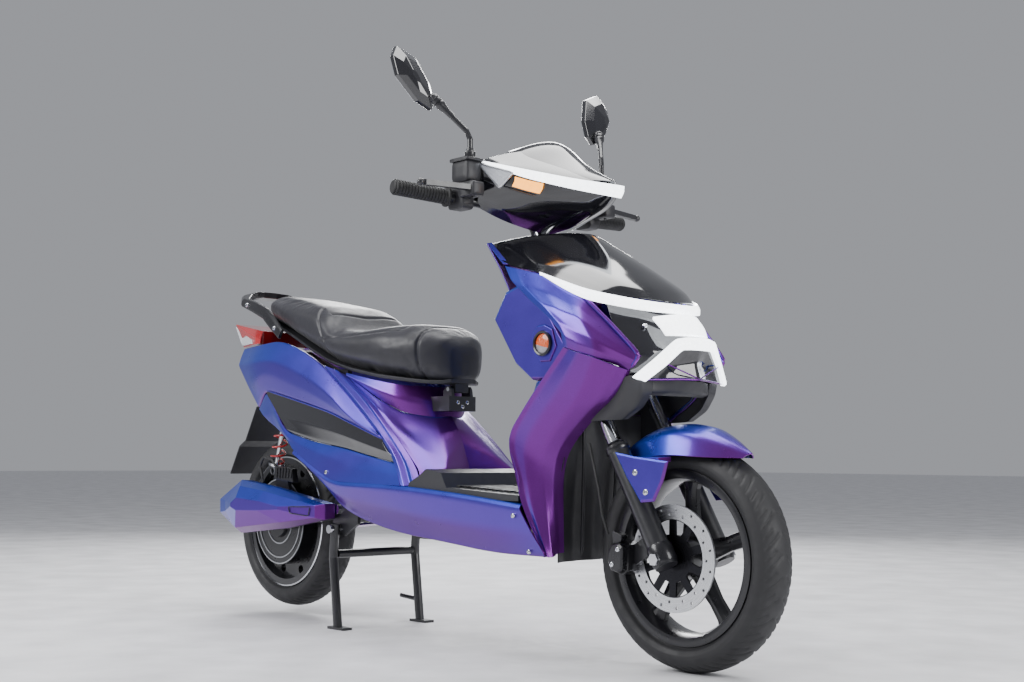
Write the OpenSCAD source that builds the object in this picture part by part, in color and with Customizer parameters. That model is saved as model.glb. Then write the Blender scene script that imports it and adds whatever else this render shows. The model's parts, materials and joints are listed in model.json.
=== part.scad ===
/* [Chassis] */
// Distance between the wheel axles
wheelbase = 1360; // [1350:5:1370]
// Outer radius of both tyres
tyre_r = 220; // [218:1:221]
// Width of both tyres
tyre_w = 94; // [88:1:96]
// Height of the rear axle while the centre stand carries the scooter
rear_axle_z = 240; // [236:1:242]
// Half the width across the handlebar ends
bar_half = 350; // [340:1:360]

/* [Front fork] */
// Lean of the fork and the steering axis from the vertical
rake = 30; // [29:0.5:31]
// Distance from the steering axis forward to the fork legs
fork_offset = 35; // [33:1:37]
// Half the distance between the fork legs
leg_y = 85; // [84:1:87]
// Radius of the lower fork legs
leg_r = 22.5; // [21:0.5:23]
// Radius of the sliding stanchions
stanchion_r = 15; // [14:0.5:16]

/* [Brakes] */
// Outer radius of the front brake disc
disc_r = 103; // [98:1:104]
// Thickness of the front brake disc
disc_t = 4; // [3:0.5:4]

/* [Panels] */
// Thickness of the plastic panels
panel_t = 3; // [2:0.5:3.5]

/* [Hidden] */
$fn = 48;

// Derived places of the wheels and the main pivots
front_x = wheelbase / 2 + 10;
rear_x = front_x - wheelbase;
running = 0.05;
weld = 0.8;
axle_r = 7;
rear_axle_r = 8;
arm_pivot = [-330, 0, 283];
stand_pivot = [-322, 0, 236];
seat_pivot = [-15, 0, 566];
bolt_r = 8;
stand_bolt_r = 6;
arm_y = 85;
arm_t = 14;
shock_y = 98;
shock_foot = [-628, shock_y, 372];
shock_head = [-575, shock_y, 574];

paint = "slateblue";
black = [0.05, 0.05, 0.06];
dark = [0.15, 0.15, 0.17];
steel = [0.7, 0.72, 0.75];

// ---- shape helpers ----

module both() {
    children();
    mirror([0, 1, 0]) children();
}

// Straight round bar from a to b
module rod(a, b, r) {
    d = b - a;
    l = norm(d);
    translate(a) rotate([0, acos(d.z / l), atan2(d.y, d.x)]) cylinder(h = l, r = r);
}

// Round tube along a path, with a slightly fuller ball at each bend
module tube(path, r) {
    for (i = [1 : len(path) - 1]) rod(path[i - 1], path[i], r);
    if (len(path) > 2) for (i = [1 : len(path) - 2]) translate(path[i]) sphere(r = r + weld);
}

// Ring of a pipe at one point of its path, square to the way through it, started from side
function pipe_ring(path, i, r, side, sides = 16) = let (
    way = path[min(i + 1, len(path) - 1)] - path[max(i - 1, 0)],
    a = cross(way, side) / norm(cross(way, side)),
    b = cross(a, way) / norm(way))
    [for (k = [0 : sides - 1]) path[i] + r * (a * cos(360 * k / sides) + b * sin(360 * k / sides))];

// Bent pipe through the points of its path
module pipe(path, r, side) {
    loft([for (i = [0 : len(path) - 1]) pipe_ring(path, i, r, side)]);
}

// Plate with an outline in X and Z, from y0 to y1
module side_plate(outline, y0, y1) {
    translate([0, y1, 0]) rotate([90, 0, 0]) linear_extrude(y1 - y0) polygon(outline);
}

// Round bar across the scooter, centred at x and z
module cross_bar(x, z, r, y0, y1) {
    translate([x, y1, z]) rotate([90, 0, 0]) cylinder(h = y1 - y0, r = r);
}

function left_of(p, q) = [p.y - q.y, q.x - p.x] / norm(q - p);

// Outline of a bent sheet: the path, then the path set off to its left by t
function sheet(path, t) = let (n = len(path) - 1) concat(path, [for (i = [n : -1 : 0])
    path[i] + t * left_of(path[max(i - 1, 0)], path[min(i + 1, n)])]);

module box(low, high) {
    translate(low) cube(high - low);
}

function flat(rows) = [for (r = rows) each r];
function total(list, i = 0) = i >= len(list) ? 0 : list[i] + total(list, i + 1);
function centre(list) = [for (k = [0 : 2]) total([for (p = list) p[k]]) / len(list)];
function flipped(faces, turn) = turn ? [for (f = faces) [f[2], f[1], f[0]]] : faces;
function mirror_row(row) = concat(row, [for (i = [len(row) - 2 : -1 : 0])
    [row[i].x, -row[i].y, row[i].z]]);

// Shell through a grid of points, thickened by the vector t
module skin(rows, t) {
    m = len(rows);
    n = len(rows[0]);
    outer = flat(rows);
    k = m * n;
    side = total([for (i = [0 : m - 2], j = [0 : n - 2])
        cross(rows[i][j + 1] - rows[i][j], rows[i + 1][j] - rows[i][j]) * t]);
    front = [for (i = [0 : m - 2], j = [0 : n - 2], h = [0, 1])
        h == 0 ? [i * n + j, i * n + j + 1, i * n + n + j + 1]
               : [i * n + j, i * n + n + j + 1, i * n + n + j]];
    back = [for (f = front) [f[2] + k, f[1] + k, f[0] + k]];
    rim = concat([for (j = [0 : n - 1]) j], [for (i = [1 : m - 1]) i * n + n - 1],
        [for (j = [n - 2 : -1 : 0]) (m - 1) * n + j], m > 2 ? [for (i = [m - 2 : -1 : 1]) i * n] : []);
    wall = [for (e = [0 : len(rim) - 1], h = [0, 1])
        let (u = rim[e], v = rim[(e + 1) % len(rim)])
        h == 0 ? [v, u, u + k] : [v, u + k, v + k]];
    polyhedron(concat(outer, [for (p = outer) p + t]),
        flipped(concat(front, back, wall), side < 0));
}

// Closed solid through rings of points
module loft(rings) {
    m = len(rings);
    n = len(rings[0]);
    c = centre(rings[0]);
    way = total([for (j = [0 : n - 1])
        cross(rings[0][j] - c, rings[0][(j + 1) % n] - c) * (centre(rings[m - 1]) - c)]);
    wall = [for (i = [0 : m - 2], j = [0 : n - 1], h = [0, 1])
        let (q = (j + 1) % n)
        h == 0 ? [i * n + j, i * n + q, i * n + n + q]
               : [i * n + j, i * n + n + q, i * n + n + j]];
    caps = [for (j = [1 : n - 2], h = [0, 1])
        h == 0 ? [0, j + 1, j] : [(m - 1) * n, (m - 1) * n + j, (m - 1) * n + j + 1]];
    polyhedron(flat(rings), flipped(concat(wall, caps), way > 0));
}

// Local frame of the fork: +Z up the legs, +X ahead of them, origin at the axle
module at_fork() {
    translate([front_x, 0, tyre_r]) rotate([0, -rake, 0]) children();
}

// Local frame of a wheel: +Z points to the rider's right, along the axle
module at_front_wheel() {
    translate([front_x, 0, tyre_r]) rotate([90, 0, 0]) children();
}

module at_rear_wheel() {
    translate([rear_x, 0, rear_axle_z]) rotate([90, 0, 0]) children();
}

// ---- chassis ----

rail_y = 72;
rail_low = [-262, rail_y, 265];
rail_knee = [-338, 76, 410];
rail_top = [-450, 80, 570];
rail_end = [-745, 80, 684];
down_path = [[392, 0, 668], [407, 0, 572], [404, 0, 430], [401.5, 0, 336], [370, 0, 268]];
down_r = 14;
head_low = 455;
head_high = 600;
head_r = 25;
bearing_r = 18;

module frame() {
    color(black) {
        difference() {
            union() {
                at_fork() translate([-fork_offset, 0, head_low])
                    cylinder(h = head_high - head_low, r = head_r);
                pipe(down_path, down_r, [0, 1, 0]);
            }
            at_fork() translate([-fork_offset, 0, head_low - 1])
                cylinder(h = head_high - head_low + 2, r = bearing_r);
        }
        cross_bar(362, 268, 17, -rail_y - 12, rail_y + 12);
        both() {
            tube([[362, rail_y, 265], rail_low, rail_knee, rail_top, rail_end], 12);
            pivot_plate();
            box([-598, 76, 573], [-558, 88, 640]);
        }
        cross_bar(rail_low.x, rail_low.z, 12, -112, 112);
        cross_bar(rail_top.x, rail_top.z, 10, -80, 80);
        cross_bar(rail_end.x, rail_end.z, 10, -80, 80);
    }
}

module pivot_plate() {
    difference() {
        side_plate([[-250, 250], [-250, 280], [-300, 312], [-345, 306], [-356, 270],
            [-342, 222], [-304, 220]], 104, 112);
        cross_bar(arm_pivot.x, arm_pivot.z, bolt_r, 100, 116);
        cross_bar(stand_pivot.x, stand_pivot.z, stand_bolt_r, 100, 116);
    }
}

module steering_bearings() {
    color(steel) at_fork() for (z = [head_low, head_high - 14])
        translate([-fork_offset, 0, z]) difference() {
            cylinder(h = 14, r = bearing_r);
            translate([0, 0, -1]) cylinder(h = 16, r = stem_r + running);
        }
}

module pivot_bolts() {
    color(steel) {
        cross_bar(arm_pivot.x, arm_pivot.z, bolt_r, -112, 112);
        both() {
            cross_bar(arm_pivot.x, arm_pivot.z, 12, 112, 119);
            cross_bar(stand_pivot.x, stand_pivot.z, stand_bolt_r, 104, 140);
            cross_bar(stand_pivot.x, stand_pivot.z, 10, 140, 145);
            cross_bar(shock_head.x, shock_head.z, 5, 88, 112);
        }
    }
}

module battery_pack() {
    color(dark) box([-90, -58, 222], [330, 58, 318]);
}

module controller() {
    color(dark) {
        box([-300, -50, 420], [-120, 50, 465]);
        for (x = [-290 : 20 : -140]) box([x, -48, 465], [x + 6, 48, 474]);
    }
}

floor_front = 378;

module floorboard() {
    color(black) difference() {
        side_plate([[floor_front, 322], [floor_front, 334], [150, 345], [132, 376], [80, 384],
            [62, 372], [20, 352], [20, 322]], -174, 174);
        for (y = [-130, 0, 130]) translate([180, y, 300]) cylinder(h = 60, r = 4);
    }
}

module floor_mat() {
    color(dark) both() for (i = [0 : 8])
        translate([158 + 23 * i, 12, 346 - i * 1.1]) rotate([0, 2.76, 0]) cube([12, 140, 4]);
}

// Points that neighbouring side panels share, for the rider's right side
floor_top = [[389, -180, 314], [195, -182, 332], [-2, -182, 344], [-150, -180, 347],
    [-273, -172, 349], [-366, -168, 385], [-458, -160, 423]];
floor_mid = [[418, -177, 262], [240, -176, 265], [40, -174, 282], [-120, -169, 302],
    [-268, -166, 316], [-352, -166, 366], [-445, -160, 411]];
floor_low = [[446, -168, 213], [272, -150, 211], [100, -147, 227], [-80, -140, 239],
    [-262, -142, 278], [-318, -160, 337], [-432, -157, 397]];
shield_top = [[519, -190, 627], [590, -168, 603], [650, -138, 579]];
insert_top = [[-630, -130, 579], [-474, -142, 549], [-318, -152, 517], [-200, -157, 482],
    [-96, -160, 451]];
insert_low = [[-511, -148, 471], [-387, -151, 446], [-246, -158, 429], [-150, -160, 412],
    [-45, -160, 395]];
inward = [0, panel_t, 0];

module floor_sides() {
    color(paint) both() {
        skin([floor_top, floor_mid, floor_low], inward);
        skin([[for (p = floor_low) if (abs(p.x - 100) < 200) p],
            [for (p = floor_low) if (abs(p.x - 100) < 200) [p.x, -90, p.z + 2]]], [0, 0, 3]);
    }
}

module leg_shields() {
    color(paint) both() skin([
        shield_top,
        [[451, -190, 558], [545, -160, 530], [600, -128, 527]],
        [[400, -190, 503], [485, -157, 478], [541, -124, 494]],
        [[353, -190, 448], [432, -156, 422], [465, -122, 432]],
        [[385, -190, 371], [428, -152, 371], [445, -122, 378]],
        [floor_top[0] + [1, 0, 0], [436, -150, 300], [446, -122, 305]],
        [floor_low[0] + [1, 0, 0], [454, -145, 213], [446, -120, 220]]], inward);
}

module side_wings() {
    color(paint) both() skin([
        [[308, -154, 808], [370, -156, 793], [426, -156, 779]],
        [[348, -168, 774], [410, -172, 768], [482, -156, 754]],
        [[428, -182, 721], [478, -190, 719], [541, -152, 728]],
        [[474, -188, 690], [545, -182, 684], [612, -148, 671]],
        [[521, -190, 660], [600, -168, 640], [686, -141, 606]],
        shield_top], inward);
}

cover_rows = [
    mirror_row([[232, -135, 868], [350, -72, 886], [431, 0, 886]]),
    mirror_row([[304, -152, 814], [424, -84, 840], [498, 0, 846]]),
    mirror_row([[426, -154, 785], [516, -88, 796], [562, 0, 800]]),
    mirror_row([[543, -150, 735], [596, -86, 758], [626, 0, 752]]),
    mirror_row([[585, -130, 724], [640, -74, 722], [676, 0, 716]])];

module front_cover() {
    color(black) skin(cover_rows, [-1, 0, -panel_t]);
}

module nose_fascia() {
    color(black) {
        skin([
            mirror_row([[580, -128, 716], [632, -72, 704], [662, 0, 698]]),
            mirror_row([[606, -144, 673], [640, -80, 664], [664, 0, 660]]),
            mirror_row([[660, -138, 622], [674, -80, 616], [684, 0, 614]]),
            mirror_row([[648, -134, 574], [664, -82, 562], [684, 0, 566]]),
            mirror_row([[604, -122, 540], [614, -76, 552], [628, 0, 560]]),
            mirror_row([[560, -118, 560], [560, -80, 590], [560, 0, 604]])], [-3, 0, 3]);
    }
}

module inner_guard() {
    color(black) skin([for (p = [[448, 428, 500], [450, 432, 430], [443, 428, 360],
        [438, 422, 280], [438, 420, 198]])
        mirror_row([[p[0], -118, p[2]], [p[1], -70, p[2]], [p[1] - 4, 0, p[2]]])], [-3, 0, 0]);
}

upper_wall = [[228, 866], [272, 806], [302, 756], [266, 700], [335, 602], [386, 566]];
lower_wall = [[386, 564], [372, 500], [348, 448], [372, 371], [381, 336]];

module inner_shield() {
    color(paint) {
        difference() {
            side_plate(sheet(upper_wall, panel_t), -140, 140);
            translate(key_place) rotate([0, key_tilt, 0])
                cylinder(h = 60, r = key_r + running, center = true);
        }
        side_plate(sheet(lower_wall, panel_t), -182, 182);
        both() side_plate([[306, 756], [271, 701], [339, 604], [390, 568], [450, 566],
            [500, 620], [430, 716], [352, 770]], 140.5, 144);
    }
}

module knee_reflectors() {
    color("orange") both() {
        cross_bar(427, 641, 24, 144, 156);
    }
}

key_place = [288, -60, 780];
key_tilt = -59;
key_r = 12;

module key_barrel() {
    color(steel) translate(key_place) rotate([0, key_tilt, 0]) {
        translate([0, 0, -12]) cylinder(h = 24, r = key_r);
        translate([-9, -1.2, 12]) cube([18, 2.4, 26]);
    }
}

module headlight() {
    color("white") skin([
        mirror_row([[668, -66, 682], [690, -34, 686], [700, 0, 688]]),
        mirror_row([[678, -62, 650], [698, -32, 650], [708, 0, 650]])], [-12, 0, 0]);
}

strip_top = [[432, -163, 786], [547, -160, 737], [594, -138, 726], [650, -78, 716], [690, 0, 710]];
strip_low = [[438, -167, 765], [550, -165, 717], [598, -142, 705], [658, -80, 697], [698, 0, 693]];

module running_lights() {
    color("white") {
        skin([mirror_row(strip_top), mirror_row(strip_low)], [-3, 0, -1]);
        skin([
            mirror_row([[664, -136, 566], [700, -58, 642], [712, 0, 644]]),
            mirror_row([[676, -116, 556], [706, -46, 618], [716, 0, 619]])], [-9, 0, 0]);
    }
}

module seat_pedestal() {
    color(paint) both() skin([
        [[-20, 0, 500], [-45, -60, 518], [-107, -120, 578]],
        [[-12, 0, 480], [-30, -92, 490], [-100, -145, 500]],
        [[0, 0, 450], [10, -94, 442], [-94, -152, 450]],
        [[20, 0, 406], [62, -94, 388], [-42, -152, 393]],
        [[24, 0, 386], [60, -110, 386], [-2, -166, 356]]], [-panel_t, 0, 0]);
}

module tail_panels() {
    color(paint) both() {
        skin([
            [[-790, -98, 696], [-664, -130, 698], [-567, -130, 704], [-460, -137, 674],
                [-364, -140, 632], [-238, -144, 602], [-106, -128, 580]],
            [[-812, -100, 646], [-700, -138, 640], [-600, -152, 640], [-480, -160, 606],
                [-364, -166, 575], [-238, -166, 546], [-101, -152, 500]],
            [[-711, -100, 536], [-670, -116, 558], insert_top[0], insert_top[1],
                insert_top[2], insert_top[3], insert_top[4]]], inward);
        skin([
            [[-711, -100, 535], insert_top[0] - [0, 0, 1], insert_low[0], insert_low[1],
                insert_low[2], insert_low[3], insert_low[4]],
            [[-640, -119, 500], [-575, -129, 477], [-505, -146, 452], [-458, -160, 424],
                [-366, -168, 386], [-273, -172, 350], [-2, -182, 345]]], inward);
    }
}

module side_inserts() {
    color(black) both() skin([insert_top - [for (p = insert_top) [0, 0, 1]],
        insert_low + [for (p = insert_low) [0, 0, 1]]], inward);
}

module tail_light() {
    color("red") loft([
        [[-690, -128, 701], [-666, -128, 702], [-666, -128, 712], [-690, -128, 718]],
        [[-794, -98, 699], [-700, -98, 701], [-700, -98, 738], [-838, -98, 765]],
        [[-794, 98, 699], [-700, 98, 701], [-700, 98, 738], [-838, 98, 765]],
        [[-690, 128, 701], [-666, 128, 702], [-666, 128, 712], [-690, 128, 718]]]);
}

// Stations of the grab rail's right half: centre, half height, half width
rail_stations = [[[-560, -134, 719], [8, 0, 11], [0, -6, 0]],
    [[-640, -130, 778], [9, 0, 12], [0, -7, 0]],
    [[-768, -112, 818], [4, 0, 11], [-6, -9, -1]],
    [[-822, -56, 844], [3, 0, 9], [-14, -10, -3]],
    [[-834, -22, 847], [2, 0, 8], [-18, -3, -4]]];

function rail_ring(s, m) = [for (q = [[1, 1], [-1, 1], [-1, -1], [1, -1]])
    let (p = s[0] + q[0] * s[1] + q[1] * s[2]) [p.x, m * p.y, p.z]];

module grab_rail() {
    color(black) loft(concat([for (s = rail_stations) rail_ring(s, 1)],
        [for (i = [len(rail_stations) - 1 : -1 : 0]) rail_ring(rail_stations[i], -1)]));
}

module rear_mudguard() {
    color(black) {
        wall = [[-385, 345], [-410, 410], [-470, 500], [-545, 545], [-700, 556], [-780, 541],
            [-832, 452], [-862, 436], [-906, 362]];
        side_plate(sheet(wall, 3), -64, 64);
        box([-905, -32, 392], [-898, 32, 410]);
    }
}

module seat_hinge() {
    color(dark) {
        box([-78, -40, 516], [-2, 40, 550]);
        both() difference() {
            side_plate([[-34, 550], [-34, 562], [-24, 573], [-10, 573], [-5, 566], [-2, 550]], 24, 32);
            cross_bar(seat_pivot.x, seat_pivot.z, 5 + running, 20, 36);
        }
    }
}

// ---- seat ----

// Stations of the seat: x, underside, top, half width
seat_stations = [[44, 596, 652, 58], [22, 586, 704, 100], [-60, 590, 718, 128],
    [-160, 602, 716, 142], [-260, 621, 712, 146], [-340, 641, 722, 146], [-376, 652, 752, 142],
    [-430, 674, 786, 138], [-520, 712, 804, 131], [-600, 742, 820, 118], [-690, 772, 834, 94],
    [-728, 792, 828, 60]];

function seat_ring(s, low, high, w) = [
    [s[0], -w * 0.86, low], [s[0], w * 0.86, low], [s[0], w, low + 14],
    [s[0], w, low + (high - low) * 0.6], [s[0], w * 0.78, high - 3], [s[0], 0, high],
    [s[0], -w * 0.78, high - 3], [s[0], -w, low + (high - low) * 0.6], [s[0], -w, low + 14]];

module seat_cushion() {
    color(dark) loft([for (s = seat_stations) seat_ring(s, s[1], s[2], s[3])]);
}

module seat_base() {
    color(black) {
        loft([for (s = seat_stations) let (w = s[3] * 0.8)
            [[s[0] - 4, -w, s[1] - 10], [s[0] - 4, w, s[1] - 10], [s[0] - 4, w, s[1] - 2],
                [s[0] - 4, -w, s[1] - 2]]]);
        difference() {
            box([-27, -20, 560], [-3, 20, 581]);
            cross_bar(seat_pivot.x, seat_pivot.z, 5, -24, 24);
        }
        cross_bar(seat_pivot.x, seat_pivot.z, 5, -34, 34);
    }
}

// ---- steering ----

stem_r = 14;
stem_top = 850;
yoke_z = 412;

module fork_crown() {
    color(dark) at_fork() {
        translate([-fork_offset, 0, yoke_z]) cylinder(h = stem_top - yoke_z, r = stem_r);
        translate([-fork_offset, 0, head_high + 0.5]) difference() {
            cylinder(h = 14, r = 22);
            translate([0, 0, -1]) cylinder(h = 16, r = stem_r);
        }
        both() translate([0, leg_y, 110]) cylinder(h = yoke_z + 24 - 110, r = stanchion_r);
        difference() {
            translate([0, 0, yoke_z]) linear_extrude(26) polygon([[-53, -8], [-53, 8], [-36, 34],
                [-14, 106], [22, 106], [22, -106], [-14, -106], [-36, -34]]);
            translate([-fork_offset, 0, yoke_z - 1]) cylinder(h = 30, r = stem_r);
            for (y = [-leg_y, leg_y]) translate([0, y, yoke_z - 1])
                cylinder(h = 30, r = stanchion_r);
        }
    }
}

bar_bend = [226, 105, 953];
grip_out = [172, bar_half - 3, 972];
bar_way = (grip_out - bar_bend) / norm(grip_out - bar_bend);
grip_in = grip_out - 132 * bar_way;
grip_r = 16.5;
bar_r = 11;
socket_low = 812;

module handlebar() {
    color(dark) difference() {
        union() {
            cross_bar(bar_bend.x, bar_bend.z, bar_r, -bar_bend.y, bar_bend.y);
            both() {
                rod(bar_bend, grip_out - 12 * bar_way, bar_r);
                translate(bar_bend) sphere(r = bar_r + weld);
            }
            at_fork() translate([-fork_offset, 0, socket_low]) cylinder(h = 52, r = 19);
        }
        at_fork() translate([-fork_offset, 0, socket_low - 1])
            cylinder(h = stem_top - socket_low + 1, r = stem_r);
    }
}

module grip(side) {
    mirror([0, side > 0 ? 0 : 1, 0]) difference() {
        union() {
            rod(grip_in + 6 * bar_way, grip_out, grip_r);
            rod(grip_in, grip_in + 7 * bar_way, grip_r + 5);
        }
        rod(grip_in - 10 * bar_way, grip_out - 11 * bar_way, bar_r + running);
    }
}

module left_grip() {
    color(black) grip(1);
}

module throttle_grip() {
    color(black) grip(-1);
}

cowl_rim = [[246, -174, 1040], [262, -130, 1060], [284, -66, 1082], [300, 0, 1090]];
cowl_led_top = [[264, -176, 1036], [322, -118, 1018], [384, -56, 998], [438, 0, 984]];
cowl_led_low = [[262, -174, 1018], [318, -116, 998], [378, -56, 976], [428, 0, 960]];

module cowl_front() {
    color(black) skin([mirror_row(cowl_rim), mirror_row(cowl_led_top), mirror_row(cowl_led_low),
        mirror_row([[256, -172, 1000], [306, -122, 972], [362, -62, 954], [412, 0, 938]]),
        mirror_row([[240, -172, 958], [276, -116, 934], [308, -58, 910], [336, 0, 896]])],
        [-panel_t, 0, 0]);
}

module cowl_rear() {
    color(black) skin([
        mirror_row([[240, -172, 1038], [250, -130, 1056], [262, -66, 1074], [270, 0, 1080]]),
        mirror_row([[206, -172, 1010], [200, -120, 1024], [186, -60, 1036], [180, 0, 1038]]),
        mirror_row([[196, -172, 986], [190, -120, 990], [180, -60, 996], [176, 0, 998]]),
        mirror_row([[196, -168, 990], [192, -110, 978], [186, -56, 974], [184, 0, 972]])],
        [3, 0, -1]);
}

module display() {
    color([0.02, 0.03, 0.05]) skin([
        mirror_row([[250, -52, 1080], [252, 0, 1084]]),
        mirror_row([[196, -46, 1046], [192, 0, 1050]])], [-1, 0, 4]);
}

module cowl_light_bar() {
    color("white") skin([
        [for (p = mirror_row(cowl_led_top)) p + [5, 0, -1]],
        [for (p = mirror_row(cowl_led_low)) p + [5, 0, 1]]], [-4, 0, 0]);
}

module front_signals() {
    color("orange") both() skin([
        [[326, -117, 995], [386, -60, 973]],
        [[314, -122, 974], [370, -64, 956]]], [-4, 0, 0]);
}

// Switch block, brake perch with its reservoir, and the mirror socket
module bar_controls() {
    color(black) both() difference() {
        union() {
            box([186, 178, 938], [236, 206, 992]);
            box([230, 184, 960], [278, 214, 990]);
            box([212, 182, 992], [262, 216, 1036]);
            translate(mirror_foot - [0, 0, 10]) cylinder(h = 10, r = 10);
        }
        rod(bar_bend, grip_out, bar_r + running);
        box([lever_pivot.x - 14, 180, lever_pivot.z - 6], [290, 230, lever_pivot.z + 6]);
        translate([lever_pivot.x, lever_pivot.y, 950]) cylinder(h = 42, r = 3.5);
        translate([184, button_y, button_z]) rotate([0, 90, 0]) cylinder(h = 10, r = 6.1);
    }
}

lever_pivot = [262, 200, 975];
lever_tip = [243, 335, 966];
lever_half = 5.5;

module lever() {
    difference() {
        translate([0, 0, lever_pivot.z - lever_half]) linear_extrude(2 * lever_half) polygon([
            [lever_pivot.x - 8, 192], [lever_pivot.x + 10, 190], [lever_pivot.x + 12, 214],
            [lever_pivot.x + 2, 262], [lever_tip.x + 8, 318], [lever_tip.x - 3, 330],
            [lever_tip.x - 7, 318], [lever_pivot.x - 11, 258], [lever_pivot.x - 8, 226]]);
        translate([lever_tip.x, lever_tip.y - 8, lever_pivot.z - 9]) cylinder(h = 18, r = 6);
    }
    translate([lever_pivot.x, lever_pivot.y, 955]) cylinder(h = 36, r = 3.45);
    translate([lever_tip.x, lever_tip.y - 8, lever_pivot.z]) sphere(r = 8);
}

module brake_lever_left() {
    color(dark) lever();
}

module brake_lever_right() {
    color(dark) mirror([0, 1, 0]) lever();
}

button_y = 192;
button_z = 950;

module horn_button() {
    color("darkred") translate([181, button_y, button_z]) rotate([0, 90, 0])
        cylinder(h = 9, r = 6);
}

module start_button() {
    color("darkred") translate([181, -button_y, button_z]) rotate([0, 90, 0])
        cylinder(h = 9, r = 6);
}

mirror_foot = [250, 200, 1046];
mirror_bend = [250, 200, 1092];
mirror_ball = [190, 254, 1174];

module mirror_stems() {
    color(black) both() {
        pipe([mirror_foot, mirror_bend - [0, 0, 10], mirror_bend + [-6, 5, 8], mirror_ball], 6,
            [1, 0, 0]);
        rod(mirror_foot, mirror_foot + [0, 0, 12], 9);
        translate(mirror_ball) sphere(r = 9);
    }
}

// Outline of the mirror glass, in Y and Z
mirror_outline = [[248, 1150], [282, 1166], [322, 1218], [324, 1262], [308, 1288], [262, 1268],
    [238, 1210], [236, 1170]];
mirror_mid = [278, 1214];

module mirror_head() {
    difference() {
        loft([for (s = [[-16, 0.97], [-6, 1], [6, 0.96], [22, 0.62]])
            [for (p = mirror_outline)
                let (q = mirror_mid + (p - mirror_mid) * s[1])
                [176 + s[0] - (q[1] - 1160) * 0.34, q[0], q[1]]]]);
        translate(mirror_ball) sphere(r = 9 + running);
        rod(mirror_bend, mirror_ball, 14);
    }
}

module mirror_head_left() {
    color(black) mirror_head();
}

module mirror_head_right() {
    color(black) mirror([0, 1, 0]) mirror_head();
}

// ---- fork and front wheel ----

leg_top = 245;

module fork_legs() {
    color(black) at_fork() both() {
        difference() {
            union() {
                translate([0, leg_y, -16]) cylinder(h = leg_top + 16, r = leg_r);
                translate([0, leg_y, leg_top - 12]) cylinder(h = 12, r = leg_r + 1);
            }
            translate([0, leg_y, 36]) cylinder(h = leg_top, r = stanchion_r + running);
            translate([0, leg_y, 0]) rotate([90, 0, 0])
                cylinder(h = 60, r = axle_r + running, center = true);
        }
        difference() {
            translate([-77, leg_y - 19, 26]) cube([60, 10, 36]);
            translate([0, leg_y, 20]) cylinder(h = 60, r = leg_r - 1);
        }
    }
}

module mudguard_plate() {
    difference() {
        side_plate([[589, 420], [726, 404], [691, 329], [657, 326]], 109.5, 113);
        cross_bar(644, 383, 4, 100, 120);
        cross_bar(671, 346, 4, 100, 120);
    }
}

module front_mudguard() {
    color(paint) {
        skin([
            mirror_row([[556, -57, 386], [552, -50, 418], [548, 0, 430]]),
            mirror_row([[600, -58, 408], [600, -54, 448], [598, 0, 464]]),
            mirror_row([[660, -78, 416], [661, -66, 462], [660, 0, 477]]),
            mirror_row([[716, -77, 417], [716, -60, 463], [718, 0, 478]]),
            mirror_row([[764, -66, 413], [769, -46, 446], [776, 0, 458]]),
            mirror_row([[826, -16, 412], [831, -10, 418], [836, 0, 420]])], [0, 0, -4]);
        both() {
            mudguard_plate();
            box([612, 76, 408], [700, 110, 412]);
        }
    }
}

caliper_turn = 152;

module brake_caliper() {
    color(dark) at_fork() translate([0, 0, 0]) rotate([0, -caliper_turn, 0]) difference() {
        translate([86, -108, -30]) cube([40, 60, 60]);
        translate([80, -63.5, -40]) cube([28, 9, 80]);
        rotate([0, caliper_turn, 0]) translate([-78, -110, 20]) cube([100, 60, 50]);
    }
}

module front_axle() {
    color(steel) at_front_wheel() {
        cylinder(h = 230, r = axle_r, center = true);
        for (m = [0, 1]) mirror([0, 0, m]) {
            translate([0, 0, 108]) cylinder(h = 9, r = 12, $fn = 6);
            translate([0, 0, 40.4]) difference() {
                cylinder(h = 21.8, r = 11.5);
                translate([0, 0, -1]) cylinder(h = 24, r = axle_r);
            }
        }
    }
}

hose_path = [[566, -108, 262], [556, -114, 300], [548, -116, 350], [530, -112, 400],
    [512, -106, 440]];
hose_r = 3;

// Ring of points across the hose at one of its route's points
function hose_ring(i) = [for (a = [0 : 45 : 315])
    hose_path[i] + [hose_r * cos(a), hose_r * sin(a), 0]];

module brake_hose() {
    color(black) loft([for (i = [0 : len(hose_path) - 1]) hose_ring(i)]);
}

bead_r = 160;

// Cross-section of a rim as a ring, from its centre out to the flanges
module rim_ring() {
    rotate_extrude($fn = 96) polygon([[150, -37], [168, -37], [168, -33.5], [bead_r, -33.5],
        [156, -20], [152, -12], [152, 12], [156, 20], [bead_r, 33.5], [168, 33.5], [168, 37],
        [150, 37], [146, 12], [146, -12]]);
}

module tyre() {
    w = tyre_w / 2;
    rotate_extrude($fn = 96) polygon([[bead_r, -33], [171, -33.2], [175, -w + 4], [190, -w],
        [206, -w + 9], [216, -w + 26], [tyre_r, 0], [216, w - 26], [206, w - 9], [190, w],
        [175, w - 4], [171, 33.2], [bead_r, 33], [bead_r, 24], [176, w - 10], [190, w - 6],
        [202, w - 15], [tyre_r - 8, 0], [202, 15 - w], [190, 6 - w], [176, 10 - w],
        [bead_r, -24]]);
}

module front_rim() {
    color(dark) at_front_wheel() {
        rim_ring();
        difference() {
            union() {
                cylinder(h = 80, r = 34, center = true);
                translate([0, 0, 30]) cylinder(h = 26, r = 42);
                for (a = [0 : 72 : 288]) rotate(a + 18) translate([0, 0, -13]) linear_extrude(26)
                    polygon([[20, -20], [149, -13], [149, 13], [20, 20]]);
            }
            cylinder(h = 200, r = axle_r + running, center = true);
            translate([0, 0, 40]) cylinder(h = 30, r = 12.5);
        }
    }
}

module front_tyre() {
    color(black) at_front_wheel() tyre();
}

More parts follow.
